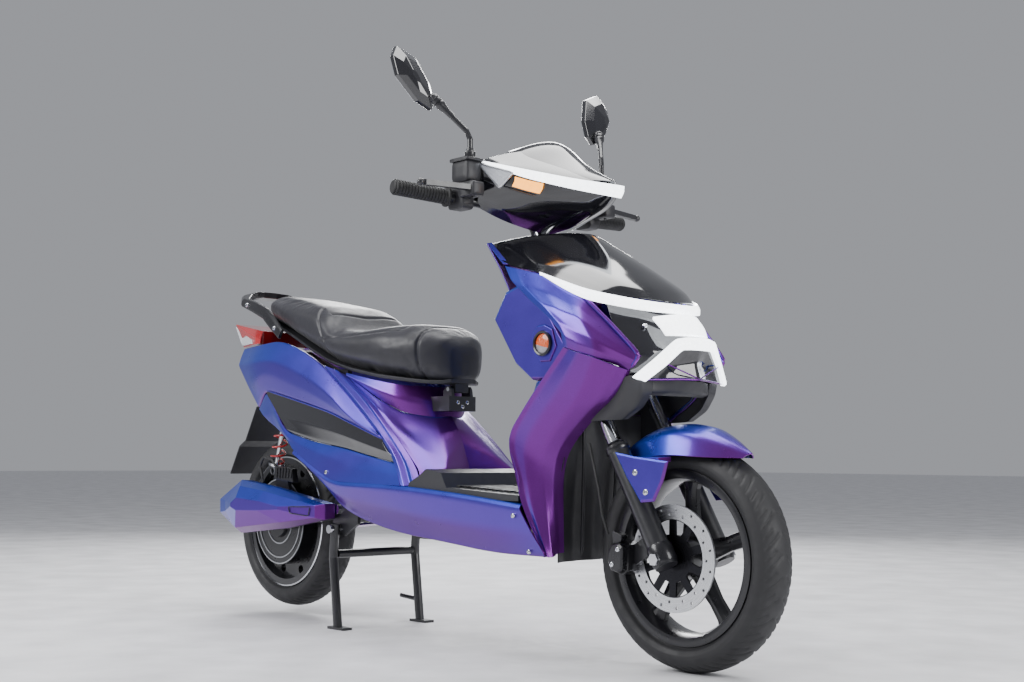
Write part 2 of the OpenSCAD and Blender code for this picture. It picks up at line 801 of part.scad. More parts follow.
module brake_disc() {
    color(steel) at_front_wheel() translate([0, 0, 56]) linear_extrude(disc_t) difference() {
        circle(r = disc_r, $fn = 96);
        circle(r = 14);
        for (a = [0 : 36 : 324]) rotate(a) intersection() {
            difference() {
                circle(r = 73);
                circle(r = 46);
            }
            polygon([[40, -4], [80, -18], [80, 18], [40, 4]]);
        }
        for (i = [0 : 29]) rotate(12 * i) translate([i % 2 == 0 ? 83 : 94, 0]) circle(r = 3);
    }
}

// ---- rear wheel and suspension ----

module swing_arm() {
    color(dark) {
        difference() {
            union() {
                cross_bar(arm_pivot.x, arm_pivot.z, 18, -100, 100);
                both() side_plate([[-330, 265], [-330, 300], [-560, 282], [-600, 374],
                    [-640, 378], [-648, 280], [rear_x - 24, 262], [rear_x - 26, 222],
                    [-620, 220]], arm_y - arm_t / 2, arm_y + 3);
            }
            cross_bar(arm_pivot.x, arm_pivot.z, bolt_r + running, -120, 120);
            both() cross_bar(rear_x, rear_axle_z, rear_axle_r, 60, 110);
        }
        at_rear_wheel() {
            cylinder(h = 204, r = rear_axle_r, center = true);
            cylinder(h = 80, r = 94, center = true);
            for (m = [0, 1]) mirror([0, 0, m]) translate([0, 0, 88]) cylinder(h = 8, r = 15, $fn = 6);
        }
    }
}

cover_y = 121;

module motor_cover() {
    cross_bar(-600, 300, 12, -cover_y - 1, -arm_y - 3);
    loft([
        [[-330, -cover_y, 262], [-330, -cover_y, 296], [-560, -cover_y, 330],
            [-700, -cover_y, 346], [-806, -cover_y, 292], [-806, -cover_y, 262],
            [-700, -cover_y, 214], [-484, -cover_y, 236]],
        [[-332, -150, 258], [-332, -150, 296], [-560, -150, 334], [-706, -150, 348],
            [-812, -150, 296], [-811, -150, 261], [-703, -150, 211], [-484, -150, 232]],
        [[-352, -165, 262], [-352, -165, 292], [-560, -176, 322], [-667, -180, 333],
            [-760, -166, 292], [-758, -166, 266], [-690, -178, 226], [-484, -178, 247]],
        [[-480, -188, 278], [-480, -188, 286], [-560, -196, 298], [-650, -202, 304],
            [-676, -202, 290], [-676, -202, 280], [-650, -202, 272], [-560, -196, 274]]]);
}

module motor_covers() {
    color(paint) both() motor_cover();
}

module hub_motor() {
    color(dark) at_rear_wheel() {
        rim_ring();
        difference() {
            union() {
                cylinder(h = 110, r = 112, center = true);
                translate([0, 0, -14]) cylinder(h = 28, r = 151);
                for (m = [0, 1]) mirror([0, 0, m]) cylinder(h = 64, r1 = 60, r2 = 40);
            }
            cylinder(h = 86, r = 97, center = true);
            cylinder(h = 200, r = rear_axle_r + running, center = true);
            for (i = [0 : 9]) rotate(36 * i) translate([131, 0, -20]) cylinder(h = 40, r = 11);
        }
    }
}

module rear_tyre() {
    color(black) at_rear_wheel() tyre();
}

shock_way = (shock_head - shock_foot) / norm(shock_head - shock_foot);
shock_rod_r = 6;
shock_body_r = 13;

module eye(p, r) {
    cross_bar(p.x, p.z, r, p.y - 9, p.y + 9);
}

module shock_bodies() {
    color(black) both() difference() {
        union() {
            eye(shock_head, 11);
            rod(shock_head - 100 * shock_way, shock_head - 6 * shock_way, shock_body_r);
            rod(shock_head - 28 * shock_way, shock_head - 22 * shock_way, 21);
        }
        cross_bar(shock_head.x, shock_head.z, 5 + running, 80, 116);
        rod(shock_head - 102 * shock_way, shock_head - 24 * shock_way, shock_rod_r + running);
    }
}

module shock_rods() {
    color(steel) both() {
        rod(shock_foot + 8 * shock_way, shock_head - 80 * shock_way, shock_rod_r);
        rod(shock_foot + 14 * shock_way, shock_foot + 20 * shock_way, 21);
        difference() {
            eye(shock_foot, 11);
            cross_bar(shock_foot.x, shock_foot.z, 6, 80, 116);
        }
    }
}

spring_turns = 6;
spring_r = 17.5;
spring_wire = 2.4;

// Ring of the coil's wire at turn angle a
function coil_ring(a, length) = let (
    c = [spring_r * cos(a), spring_r * sin(a), length * a / (360 * spring_turns)])
    [for (b = [0 : 72 : 288]) c + spring_wire
        * [cos(a) * cos(b), sin(a) * cos(b), sin(b)]];

module shock_springs() {
    length = norm(shock_head - shock_foot) - 28 - 20 - 2 * spring_wire - 1;
    d = shock_head - shock_foot;
    color("firebrick") both() translate(shock_foot + (20.5 + spring_wire) * shock_way)
        rotate([0, acos(d.z / norm(d)), 0])
        loft([for (a = [0 : 30 : 360 * spring_turns]) coil_ring(a, length)]);
}

// ---- stand ----

stand_y = 125;

module centre_stand() {
    color(dark) {
        both() {
            difference() {
                pipe([stand_pivot + [0, stand_y, 12], [-328, stand_y, 186], [-328, stand_y, 166],
                    [-306, stand_y, 3]], 11, [0, 1, 0]);
                cross_bar(stand_pivot.x, stand_pivot.z, stand_bolt_r + running, 110, 140);
            }
            box([-330, stand_y - 14, 0], [-268, stand_y + 14, 6]);
        }
        cross_bar(-328, 176, 10, 10.9 - stand_y, stand_y - 10.9);
        pipe([[-312, stand_y + 8, 40], [-352, stand_y + 22, 52], [-412, stand_y + 24, 56]], 6,
            [0, 0, 1]);
    }
}

frame();
steering_bearings();
pivot_bolts();
battery_pack();
controller();
floorboard();
floor_mat();
floor_sides();
leg_shields();
side_wings();
front_cover();
nose_fascia();
inner_guard();
inner_shield();
knee_reflectors();
headlight();
running_lights();
key_barrel();
seat_pedestal();
tail_panels();
side_inserts();
tail_light();
grab_rail();
rear_mudguard();
seat_hinge();
seat_base();
seat_cushion();
fork_crown();
handlebar();
cowl_front();
cowl_rear();
display();
cowl_light_bar();
front_signals();
bar_controls();
left_grip();
mirror_stems();
mirror_head_right();
mirror_head_left();
throttle_grip();
brake_lever_right();
brake_lever_left();
horn_button();
start_button();
fork_legs();
front_mudguard();
brake_caliper();
front_axle();
brake_hose();
front_rim();
front_tyre();
brake_disc();
swing_arm();
motor_covers();
hub_motor();
rear_tyre();
shock_bodies();
shock_rods();
shock_springs();
centre_stand();
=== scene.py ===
import json
import math

import bmesh
import bpy
import numpy as np
from mathutils import Matrix


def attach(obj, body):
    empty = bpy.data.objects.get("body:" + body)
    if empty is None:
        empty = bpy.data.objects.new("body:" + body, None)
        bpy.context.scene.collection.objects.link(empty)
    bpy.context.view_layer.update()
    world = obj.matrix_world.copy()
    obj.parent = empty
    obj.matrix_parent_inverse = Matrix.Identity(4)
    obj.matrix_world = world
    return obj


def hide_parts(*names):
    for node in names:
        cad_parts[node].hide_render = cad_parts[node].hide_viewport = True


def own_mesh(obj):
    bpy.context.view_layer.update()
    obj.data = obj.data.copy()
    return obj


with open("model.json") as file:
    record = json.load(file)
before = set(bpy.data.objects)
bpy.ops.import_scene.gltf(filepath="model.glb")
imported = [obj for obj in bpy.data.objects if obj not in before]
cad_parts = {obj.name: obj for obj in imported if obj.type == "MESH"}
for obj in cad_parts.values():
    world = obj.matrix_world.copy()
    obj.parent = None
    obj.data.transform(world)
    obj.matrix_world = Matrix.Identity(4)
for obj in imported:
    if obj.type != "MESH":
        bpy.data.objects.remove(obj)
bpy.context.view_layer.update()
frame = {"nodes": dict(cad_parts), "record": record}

MM = 0.001
FRONT_AXLE = np.array([0.690, 0.0, 0.220])
REAR_AXLE = np.array([-0.670, 0.0, 0.240])
MIRROR_Y = np.array([1.0, -1.0, 1.0])


# ---- camera, floor and light ----

def aim_camera():
    """Camera by its place, azimuth, upward pitch and roll, in degrees."""
    azimuth, pitch, roll = (math.radians(a) for a in (47.58, 4.627, 0.335))
    ahead = np.array([-math.sin(azimuth) * math.cos(pitch), math.cos(azimuth) * math.cos(pitch),
                      math.sin(pitch)])
    right = np.cross(ahead, (0, 0, 1))
    right /= np.linalg.norm(right)
    up = np.cross(right, ahead)
    side = right * math.cos(roll) + up * math.sin(roll)
    top = up * math.cos(roll) - right * math.sin(roll)
    camera = bpy.data.objects.new("camera", bpy.data.cameras.new("camera"))
    camera.data.lens = 50.0
    camera.data.sensor_width = 36.0
    camera.matrix_world = Matrix(np.vstack([
        np.column_stack([side, top, -ahead, (2.505, -2.137, 0.413)]), (0, 0, 0, 1)]).tolist())
    bpy.context.collection.objects.link(camera)
    bpy.context.scene.camera = camera


def softbox(name, place, target, size, power):
    """White rectangular light at a place, facing its target."""
    light = bpy.data.objects.new(name, bpy.data.lights.new(name, "AREA"))
    light.data.shape = "RECTANGLE"
    light.data.size, light.data.size_y = size
    light.data.energy = power
    way = np.array(place, float) - np.array(target, float)
    across = np.cross((0, 0, 1), way)
    across /= np.linalg.norm(across)
    way /= np.linalg.norm(way)
    light.matrix_world = Matrix(np.vstack([
        np.column_stack([across, np.cross(way, across), way, place]), (0, 0, 0, 1)]).tolist())
    bpy.context.collection.objects.link(light)


def make_studio():
    """Pale floor, a plain sky and four soft lights."""
    floor = bpy.data.objects.new("floor", bpy.data.meshes.new("floor"))
    reach = 30.0
    floor.data.from_pydata([(-reach, -reach, 0), (reach, -reach, 0), (reach, reach, 0),
                            (-reach, reach, 0)], [], [(0, 1, 2, 3)])
    floor.data.materials.append(finish("studio_floor", (0.72, 0.72, 0.74), 0.7))
    bpy.context.collection.objects.link(floor)
    world = bpy.data.worlds.new("studio")
    world.use_nodes = True
    world.node_tree.nodes["Background"].inputs["Color"].default_value = (0.82, 0.84, 0.9, 1)
    world.node_tree.nodes["Background"].inputs["Strength"].default_value = 0.42
    bpy.context.scene.world = world
    softbox("key_left", (-1.2, -3.4, 2.6), (0, 0, 0.6), (2.4, 1.8), 150)
    softbox("fill_front", (3.8, 0.6, 1.6), (0.2, 0, 0.6), (2.0, 1.6), 90)
    softbox("top", (0.1, 0.0, 3.4), (0, 0.01, 0), (3.2, 1.4), 110)
    softbox("rim_back", (-2.6, 2.4, 2.2), (0, 0, 0.7), (1.6, 1.6), 110)


# ---- materials ----

class Nodes:
    """Short way to add and link shader nodes of one material."""

    def __init__(self, name):
        self.material = bpy.data.materials.new(name)
        self.material.use_nodes = True
        self.tree = self.material.node_tree
        self.shader = self.tree.nodes["Principled BSDF"]

    def add(self, kind, **values):
        node = self.tree.nodes.new(kind)
        for key, value in values.items():
            if hasattr(node, key):
                setattr(node, key, value)
            else:
                node.inputs[key.replace("_", " ")].default_value = value
        return node

    def link(self, source, target):
        self.tree.links.new(source, target)

    def coordinates(self, stretch=(1, 1, 1)):
        place = self.add("ShaderNodeTexCoord").outputs["Object"]
        mapping = self.add("ShaderNodeMapping")
        mapping.inputs["Scale"].default_value = stretch
        self.link(place, mapping.inputs["Vector"])
        return mapping.outputs["Vector"]

    def noise(self, place, scale, detail=3.0):
        node = self.add("ShaderNodeTexNoise", Scale=scale, Detail=detail)
        self.link(place, node.inputs["Vector"])
        return node.outputs["Fac"]

    def spread(self, value, low, high):
        """value in 0.3 to 0.7 mapped to low to high."""
        node = self.add("ShaderNodeMapRange")
        self.link(value, node.inputs["Value"])
        for key, number in (("From Min", 0.3), ("From Max", 0.7), ("To Min", low), ("To Max", high)):
            node.inputs[key].default_value = number
        return node.outputs["Result"]

    def blend(self, factor, a, b):
        """Colour a where factor is 0, b where it is 1. Either may be a socket."""
        node = self.add("ShaderNodeMix", data_type="RGBA")
        self.link(factor, node.inputs["Factor"])
        for socket, colour in (("A", a), ("B", b)):
            target = next(i for i in node.inputs if i.name == socket and i.type == "RGBA")
            if isinstance(colour, tuple):
                target.default_value = (*colour, 1)
            else:
                self.link(colour, target)
        return next(o for o in node.outputs if o.type == "RGBA")

    def bump(self, height, strength, distance):
        node = self.add("ShaderNodeBump", Strength=strength, Distance=distance)
        self.link(height, node.inputs["Height"])
        self.link(node.outputs["Normal"], self.shader.inputs["Normal"])
        return node


def finish(name, colour, rough, metal=0.0, coat=0.0, grain=(400.0, 0.15, 0.0002),
           mottle=(6.0, 0.12), stretch=(1, 1, 1)):
    """Moulded, cast or painted finish: colour and roughness drift over a broad noise, and a
    fine grain of (scale, strength, depth) gives the bump."""
    n = Nodes(name)
    place = n.coordinates(stretch)
    broad = n.noise(place, mottle[0])
    low = tuple(c * (1 - mottle[1]) for c in colour)
    high = tuple(min(1.0, c * (1 + mottle[1])) for c in colour)
    n.link(n.blend(n.spread(broad, 0, 1), low, high), n.shader.inputs["Base Color"])
    n.link(n.spread(n.noise(place, mottle[0] * 7), rough * 0.85, min(1.0, rough * 1.15)),
           n.shader.inputs["Roughness"])
    n.shader.inputs["Metallic"].default_value = metal
    n.shader.inputs["Coat Weight"].default_value = coat
    n.shader.inputs["Coat Roughness"].default_value = 0.08
    n.bump(n.noise(place, grain[0], 2.0), grain[1], grain[2])
    return n.material


def paint_with_painted_light(name, blue_light_colour, violet_light_colour, rough=0.3):
    """Metallic paint with painted light in its colour: faces turned up and back take the first colour,
    a painted blue light, faces turned ahead take the second, a painted violet light, with fine flakes
    in the colour and in the bump."""
    n = Nodes(name)
    coordinates = n.add("ShaderNodeTexCoord")
    # Painted light: the way each face turns sets its colour, as if blue light fell from above and
    # behind and violet light from ahead.
    turn = n.add("ShaderNodeVectorMath", operation="DOT_PRODUCT")
    n.link(coordinates.outputs["Normal"], turn.inputs[0])
    turn.inputs[1].default_value = (0.78, 0.0, -0.42)
    painted_light_mix = n.add("ShaderNodeMapRange", interpolation_type="SMOOTHSTEP")
    n.link(turn.outputs["Value"], painted_light_mix.inputs["Value"])
    for key, number in (("From Min", -0.35), ("From Max", 0.42), ("To Min", 0.0), ("To Max", 1.0)):
        painted_light_mix.inputs[key].default_value = number
    base = n.blend(painted_light_mix.outputs["Result"], blue_light_colour, violet_light_colour)
    flakes = n.add("ShaderNodeTexVoronoi", Scale=1800.0)
    n.link(coordinates.outputs["Object"], flakes.inputs["Vector"])
    light = n.add("ShaderNodeHueSaturation")
    n.link(base, light.inputs["Color"])
    split = n.add("ShaderNodeSeparateColor")
    n.link(flakes.outputs["Color"], split.inputs["Color"])
    n.link(n.spread(split.outputs["Red"], 0.92, 1.12), light.inputs["Value"])
    n.link(light.outputs["Color"], n.shader.inputs["Base Color"])
    place = n.coordinates()
    n.link(n.spread(n.noise(place, 22.0), rough * 0.9, rough * 1.12), n.shader.inputs["Roughness"])
    n.shader.inputs["Metallic"].default_value = 0.72
    n.shader.inputs["Coat Weight"].default_value = 0.2
    n.shader.inputs["Coat Roughness"].default_value = 0.16
    n.bump(split.outputs["Green"], 0.06, 0.00008)
    return n.material


def vinyl_leather(name, colour):
    """Seat vinyl: small irregular cells for the grain and broad soft wrinkles."""
    n = Nodes(name)
    place = n.coordinates()
    cells = n.add("ShaderNodeTexVoronoi", Scale=420.0, feature="DISTANCE_TO_EDGE")
    n.link(place, cells.inputs["Vector"])
    wrinkles = n.noise(place, 60.0, 4.0)
    n.link(n.blend(n.spread(n.noise(place, 9.0), 0, 1), tuple(0.8 * c for c in colour),
                   tuple(1.25 * c for c in colour)), n.shader.inputs["Base Color"])
    n.link(n.spread(wrinkles, 0.36, 0.5), n.shader.inputs["Roughness"])
    n.shader.inputs["Sheen Weight"].default_value = 0.08
    first = n.bump(cells.outputs["Distance"], 0.35, 0.0006)
    second = n.add("ShaderNodeBump", Strength=0.12, Distance=0.002)
    n.link(wrinkles, second.inputs["Height"])
    n.link(second.outputs["Normal"], first.inputs["Normal"])
    return n.material


def lamp(name, colour, glow, cells=160.0):
    """Lit lens: emission with the faint cells of the light guide behind it."""
    n = Nodes(name)
    place = n.coordinates()
    pattern = n.add("ShaderNodeTexVoronoi", Scale=cells)
    n.link(place, pattern.inputs["Vector"])
    n.shader.inputs["Base Color"].default_value = (*colour, 1)
    n.shader.inputs["Roughness"].default_value = 0.12
    n.link(n.blend(pattern.outputs["Distance"], colour, tuple(0.8 * c for c in colour)),
           n.shader.inputs["Emission Color"])
    n.shader.inputs["Emission Strength"].default_value = glow
    n.bump(pattern.outputs["Distance"], 0.2, 0.0006)
    return n.material


def two_tone_lens(name, upper, lower):
    """Ribbed reflector: one colour above a slanting line, another below it."""
    n = Nodes(name)
    place = n.coordinates()
    line = n.add("ShaderNodeVectorMath", operation="DOT_PRODUCT")
    n.link(place, line.inputs[0])
    line.inputs[1].default_value = (0.25, 0.0, 1.0)
    side = n.add("ShaderNodeMath", operation="GREATER_THAN")
    n.link(line.outputs["Value"], side.inputs[0])
    side.inputs[1].default_value = 0.742
    n.link(n.blend(side.outputs["Value"], lower, upper), n.shader.inputs["Base Color"])
    prisms = n.add("ShaderNodeTexVoronoi", Scale=420.0)
    n.link(place, prisms.inputs["Vector"])
    n.shader.inputs["Roughness"].default_value = 0.1
    n.shader.inputs["Coat Weight"].default_value = 1.0
    n.bump(prisms.outputs["Distance"], 0.7, 0.0016)
    return n.material


def disc_metal(name):
    """Brake disc: brushed rings outside the carrier's radius, black carrier inside it."""
    n = Nodes(name)
    coordinates = n.add("ShaderNodeTexCoord")
    offset = n.add("ShaderNodeVectorMath", operation="SUBTRACT")
    n.link(coordinates.outputs["Object"], offset.inputs[0])
    offset.inputs[1].default_value = tuple(FRONT_AXLE)
    flat = n.add("ShaderNodeVectorMath", operation="MULTIPLY")
    n.link(offset.outputs["Vector"], flat.inputs[0])
    flat.inputs[1].default_value = (1, 0, 1)
    radius = n.add("ShaderNodeVectorMath", operation="LENGTH")
    n.link(flat.outputs["Vector"], radius.inputs[0])
    carrier = n.add("ShaderNodeMath", operation="LESS_THAN")
    n.link(radius.outputs["Value"], carrier.inputs[0])
    carrier.inputs[1].default_value = 0.0745
    rings = n.add("ShaderNodeTexNoise", noise_dimensions="1D", Detail=2.0)
    rings.inputs["Scale"].default_value = 1400.0
    n.link(radius.outputs["Value"], rings.inputs["W"])
    steel = n.blend(n.spread(rings.outputs["Fac"], 0, 1), (0.48, 0.49, 0.51), (0.72, 0.73, 0.75))
    n.link(n.blend(carrier.outputs["Value"], steel, (0.02, 0.02, 0.024)),
           n.shader.inputs["Base Color"])
    n.link(n.spread(rings.outputs["Fac"], 0.22, 0.36), n.shader.inputs["Roughness"])
    n.shader.inputs["Metallic"].default_value = 0.9
    n.bump(rings.outputs["Fac"], 0.15, 0.0001)
    return n.material


def make_materials():
    """Every finish of the scooter, by its name in the record or by its piece."""
    blue = (0.012, 0.06, 0.5)
    violet = (0.14, 0.012, 0.22)
    table = {
        # The body paint's blue and violet are painted coloured light, set face by face by the way each
        # face turns.
        "paint": paint_with_painted_light("violet_blue_paint_painted_light", blue, violet),
        "gloss_black": finish("gloss_black", (0.008, 0.008, 0.011), 0.1, coat=1.0,
                              grain=(260.0, 0.04, 0.0002)),
        "matte_black": finish("matte_black_plastic", (0.022, 0.022, 0.026), 0.52,
                              grain=(900.0, 0.35, 0.0003)),
        "black_metal": finish("black_powder_coat", (0.014, 0.014, 0.017), 0.34, coat=0.3,
                              grain=(700.0, 0.18, 0.0002)),
        "cast_black": finish("black_cast_alloy", (0.012, 0.012, 0.015), 0.3, metal=0.2, coat=0.3,
                             grain=(500.0, 0.2, 0.0003)),
        "steel": finish("polished_steel", (0.62, 0.63, 0.66), 0.16, metal=1.0,
                        grain=(600.0, 0.06, 0.0001), stretch=(1, 1, 0.12)),
        "disc_steel": disc_metal("disc_metal"),
        "aluminium": finish("cast_aluminium", (0.5, 0.51, 0.53), 0.36, metal=1.0),
        "tyre": finish("tyre_rubber", (0.016, 0.016, 0.018), 0.62, grain=(500.0, 0.4, 0.0005)),
        "rubber": finish("soft_rubber", (0.014, 0.014, 0.015), 0.6, grain=(800.0, 0.4, 0.0004)),
        "vinyl": vinyl_leather("seat_vinyl", (0.014, 0.014, 0.02)),
        "white_light": lamp("white_lamp", (0.92, 0.96, 1.0), 4.5),
        "amber": finish("amber_reflector", (0.75, 0.2, 0.015), 0.14, coat=1.0,
                        grain=(340.0, 0.6, 0.0012)),
        "clear_lens": finish("clear_lens", (0.62, 0.64, 0.68), 0.08, coat=1.0,
                             grain=(260.0, 0.8, 0.0015)),
        "mirror_glass": finish("mirror_glass", (0.72, 0.74, 0.78), 0.03, metal=1.0,
                               grain=(40.0, 0.01, 0.0001), mottle=(3.0, 0.02)),
        "reflector": two_tone_lens("reflector_lens", (0.8, 0.11, 0.01), (0.34, 0.33, 0.36)),
        "amber_light": lamp("amber_lamp", (1.0, 0.38, 0.04), 3.2),
        "red_lens": finish("red_lens", (0.42, 0.012, 0.015), 0.12, coat=1.0,
                           grain=(300.0, 0.5, 0.001)),
        "screen": finish("display_glass", (0.006, 0.008, 0.012), 0.06, coat=1.0),
        "spring_red": finish("red_spring_paint", (0.45, 0.02, 0.02), 0.3, coat=0.5),
        "button_red": finish("red_button", (0.45, 0.02, 0.02), 0.4),
        "battery_case": finish("battery_case", (0.03, 0.03, 0.033), 0.55),
    }
    return table


def paint_cad_nodes():
    """The CAD nodes that stay in sight get the finish of their slot."""
    for part in frame["record"]["subparts"]:
        node = frame["nodes"][part["node"]]
        for place in node.material_slots:
            place.material = MATERIALS[part["material_slot"]]


# ---- surfaces ----

def hat_weights(count, steps, width):
    """Blending weights of count control points: each is the mean of that point's hat function
    over a window, width spans wide, that closes to nothing at both ends. A narrow window keeps
    the creases of straight facets, a window of one or more spans gives a smooth curve."""
    t = np.linspace(0.0, count - 1.0, (count - 1) * steps + 1)
    half = np.maximum(np.minimum(width / 2, np.minimum(t, count - 1 - t)), 1e-5)
    low = np.clip((t - half)[:, None] - np.arange(count), -1, 1)
    high = np.clip((t + half)[:, None] - np.arange(count), -1, 1)

    def area(x):
        return np.where(x < 0, 0.5 * (x + 1) ** 2, 1 - 0.5 * (1 - x) ** 2)

    weights = (area(high) - area(low)) / (2 * half[:, None])
    return weights / weights.sum(axis=1, keepdims=True)


def surface(net, steps=(10, 10), width=(0.25, 0.25)):
    """Grid of points from a net of control points in millimetres: the hat weights of the rows
    times the net times the hat weights of the columns."""
    net = np.array(net, float) * MM
    down = hat_weights(net.shape[0], steps[0], width[0])
    across = hat_weights(net.shape[1], steps[1], width[1])
    return np.einsum("ik,klc,jl->ijc", down, net, across)


def grid_faces(rows, columns, wrap_rows=False, wrap_columns=False):
    """Quads between the neighbours of a grid, joined round where it wraps."""
    i = np.arange(rows if wrap_rows else rows - 1)[:, None]
    j = np.arange(columns if wrap_columns else columns - 1)[None, :]
    a = i * columns + j
    b = i * columns + (j + 1) % columns
    c = (i + 1) % rows * columns + (j + 1) % columns
    d = (i + 1) % rows * columns + j
    return np.stack([a, b, c, d], axis=-1).reshape(-1, 4)


def put(name, points, faces, material, body, slot, replaces=(), closed=True, sharp=40):
    """Piece from arrays of points and quads. Doubles are merged, and a closed one has its
    faces turned outwards."""
    mesh = bpy.data.meshes.new(name)
    mesh.vertices.add(len(points))
    mesh.vertices.foreach_set("co", np.asarray(points, np.float32).ravel())
    mesh.loops.add(faces.size)
    mesh.loops.foreach_set("vertex_index", faces.astype(np.int32).ravel())
    mesh.polygons.add(len(faces))
    mesh.polygons.foreach_set("loop_start", np.arange(0, faces.size, faces.shape[1], dtype=np.int32))
    mesh.update(calc_edges=True)
    work = bmesh.new()
    work.from_mesh(mesh)
    bmesh.ops.remove_doubles(work, verts=work.verts, dist=1e-6)
    if closed:
        bmesh.ops.recalc_face_normals(work, faces=work.faces)
    work.to_mesh(mesh)
    work.free()
    mesh.shade_smooth()
    if sharp:
        mesh.set_sharp_from_angle(angle=math.radians(sharp))
    piece = bpy.data.objects.new(name, mesh)
    bpy.context.collection.objects.link(piece)
    mesh.materials.append(material)
    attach(piece, body)
    if replaces:
        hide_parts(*replaces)
    return piece


def facing(points, faces, outward):
    """The faces, turned round if their mean normal points against outward."""
    p = points[faces]
    normal = np.cross(p[:, 2] - p[:, 0], p[:, 3] - p[:, 1]).sum(axis=0)
    return faces[:, ::-1] if normal @ np.array(outward, float) < 0 else faces


def panel(name, net, body, slot, outward, replaces=(), steps=(10, 10), width=(0.25, 0.25),
          thick=2.6, edge=1.0, material=None):
    """Moulded panel: a surface through the net, given its wall inwards and rounded rims."""
    grid = surface(net, steps, width)
    points = grid.reshape(-1, 3)
    faces = facing(points, grid_faces(*grid.shape[:2]), outward)
    piece = put(name, points, faces, material or MATERIALS[slot], body, slot, replaces,
                closed=False, sharp=0)
    wall = piece.modifiers.new("wall", "SOLIDIFY")
    wall.thickness = thick * MM
    wall.offset = -1.0
    wall.use_even_offset = False
    rim = piece.modifiers.new("rim", "BEVEL")
    rim.width = edge * MM
    rim.segments = 2
    rim.limit_method = "ANGLE"
    rim.angle_limit = math.radians(55)
    rim.harden_normals = True
    return piece


def pair(name, net, body, slot, outward, replaces=(), **more):
    """The panel and its mirror image across the scooter's middle."""
    net = np.array(net, float)
    panel(name + "_right", net, body, slot, outward, replaces, **more)
    panel(name + "_left", net * MIRROR_Y, body, slot, np.array(outward) * MIRROR_Y, replaces, **more)


def both_sides(row):
    """A row from the right side to the middle, carried on to the left side."""
    row = [tuple(p) for p in row]
    return row + [(x, -y, z) for x, y, z in row[-2::-1]]


def sweep(path, radius, sides=16):
    """Tube along a path: a circle of the given radius, or one per point, in the plane square to
    the path, with the ends drawn in to points."""
    path = np.asarray(path, float)
    radius = np.broadcast_to(np.asarray(radius, float), len(path)).copy()
    ahead = np.gradient(path, axis=0)
    ahead /= np.linalg.norm(ahead, axis=1, keepdims=True)
    up = np.array([0, 0, 1.0]) if abs(ahead[:, 2]).mean() < 0.8 else np.array([1.0, 0, 0])
    across = np.cross(ahead, up)
    across /= np.linalg.norm(across, axis=1, keepdims=True)
    over = np.cross(across, ahead)
    turn = np.linspace(0, 2 * np.pi, sides, endpoint=False)
    ring = (across[:, None] * np.cos(turn)[:, None] + over[:, None] * np.sin(turn)[:, None])
    points = path[:, None] + ring * radius[:, None, None]
    points = np.concatenate([np.broadcast_to(path[0], (1, sides, 3)), points,
                             np.broadcast_to(path[-1], (1, sides, 3))])
    return points.reshape(-1, 3), grid_faces(len(points), sides, wrap_columns=True)


def spin(profile, centre, count=144):
    """A closed profile of (radius, offset to the right) turned about the axle at centre."""
    profile = np.asarray(profile, float) * MM
    turn = np.linspace(0, 2 * np.pi, count, endpoint=False)
    r, side = profile[:, 0], profile[:, 1]
    points = np.stack([r * np.cos(turn)[:, None], np.broadcast_to(-side, (count, len(side))),
                       r * np.sin(turn)[:, None]], axis=-1) + centre
    return points.reshape(-1, 3), grid_faces(count, len(profile), wrap_rows=True, wrap_columns=True)


def joined(*parts):
    """Several (points, faces) as one."""
    points, faces, start = [], [], 0
    for p, f in parts:
        points.append(p)
        faces.append(f + start)
        start += len(p)
    return np.concatenate(points), np.concatenate(faces)


def turned(profile, origin, way, count=32):
    """Solid of revolution: rings of the profile's (distance along the way, radius), in
    millimetres, round the line from origin. The ends are drawn in to the axis."""
    profile = np.asarray(profile, float) * MM
    way = np.asarray(way, float) / np.linalg.norm(way)
    side = np.cross(way, (0, 0, 1) if abs(way[2]) < 0.9 else (1, 0, 0))
    side /= np.linalg.norm(side)
    other = np.cross(way, side)
    turn = np.linspace(0, 2 * np.pi, count, endpoint=False)
    along = np.concatenate([profile[:1, 0], profile[:, 0], profile[-1:, 0]])
    radius = np.concatenate([[0], profile[:, 1], [0]])
    ring = side * np.cos(turn)[:, None] + other * np.sin(turn)[:, None]
    points = np.asarray(origin, float) * MM + along[:, None, None] * way + radius[:, None, None] * ring
    return points.reshape(-1, 3), grid_faces(len(along), count, wrap_columns=True)


def mirrored(part):
    """The same points and faces on the rider's other side."""
    points, faces = part
    return points * MIRROR_Y, faces[:, ::-1]


def screws(name, places, way, radius, body):
    """Domed heads with a recessed drive, standing on the given points in millimetres."""
    head = [(-2, radius), (1, radius), (2.4, radius * 0.86), (3, radius * 0.6), (3, radius * 0.42),
            (1, radius * 0.36)]
    put(name, *joined(*[turned(head, p, way, 18) for p in places]), MATERIALS["steel"], body,
        "steel", sharp=35)


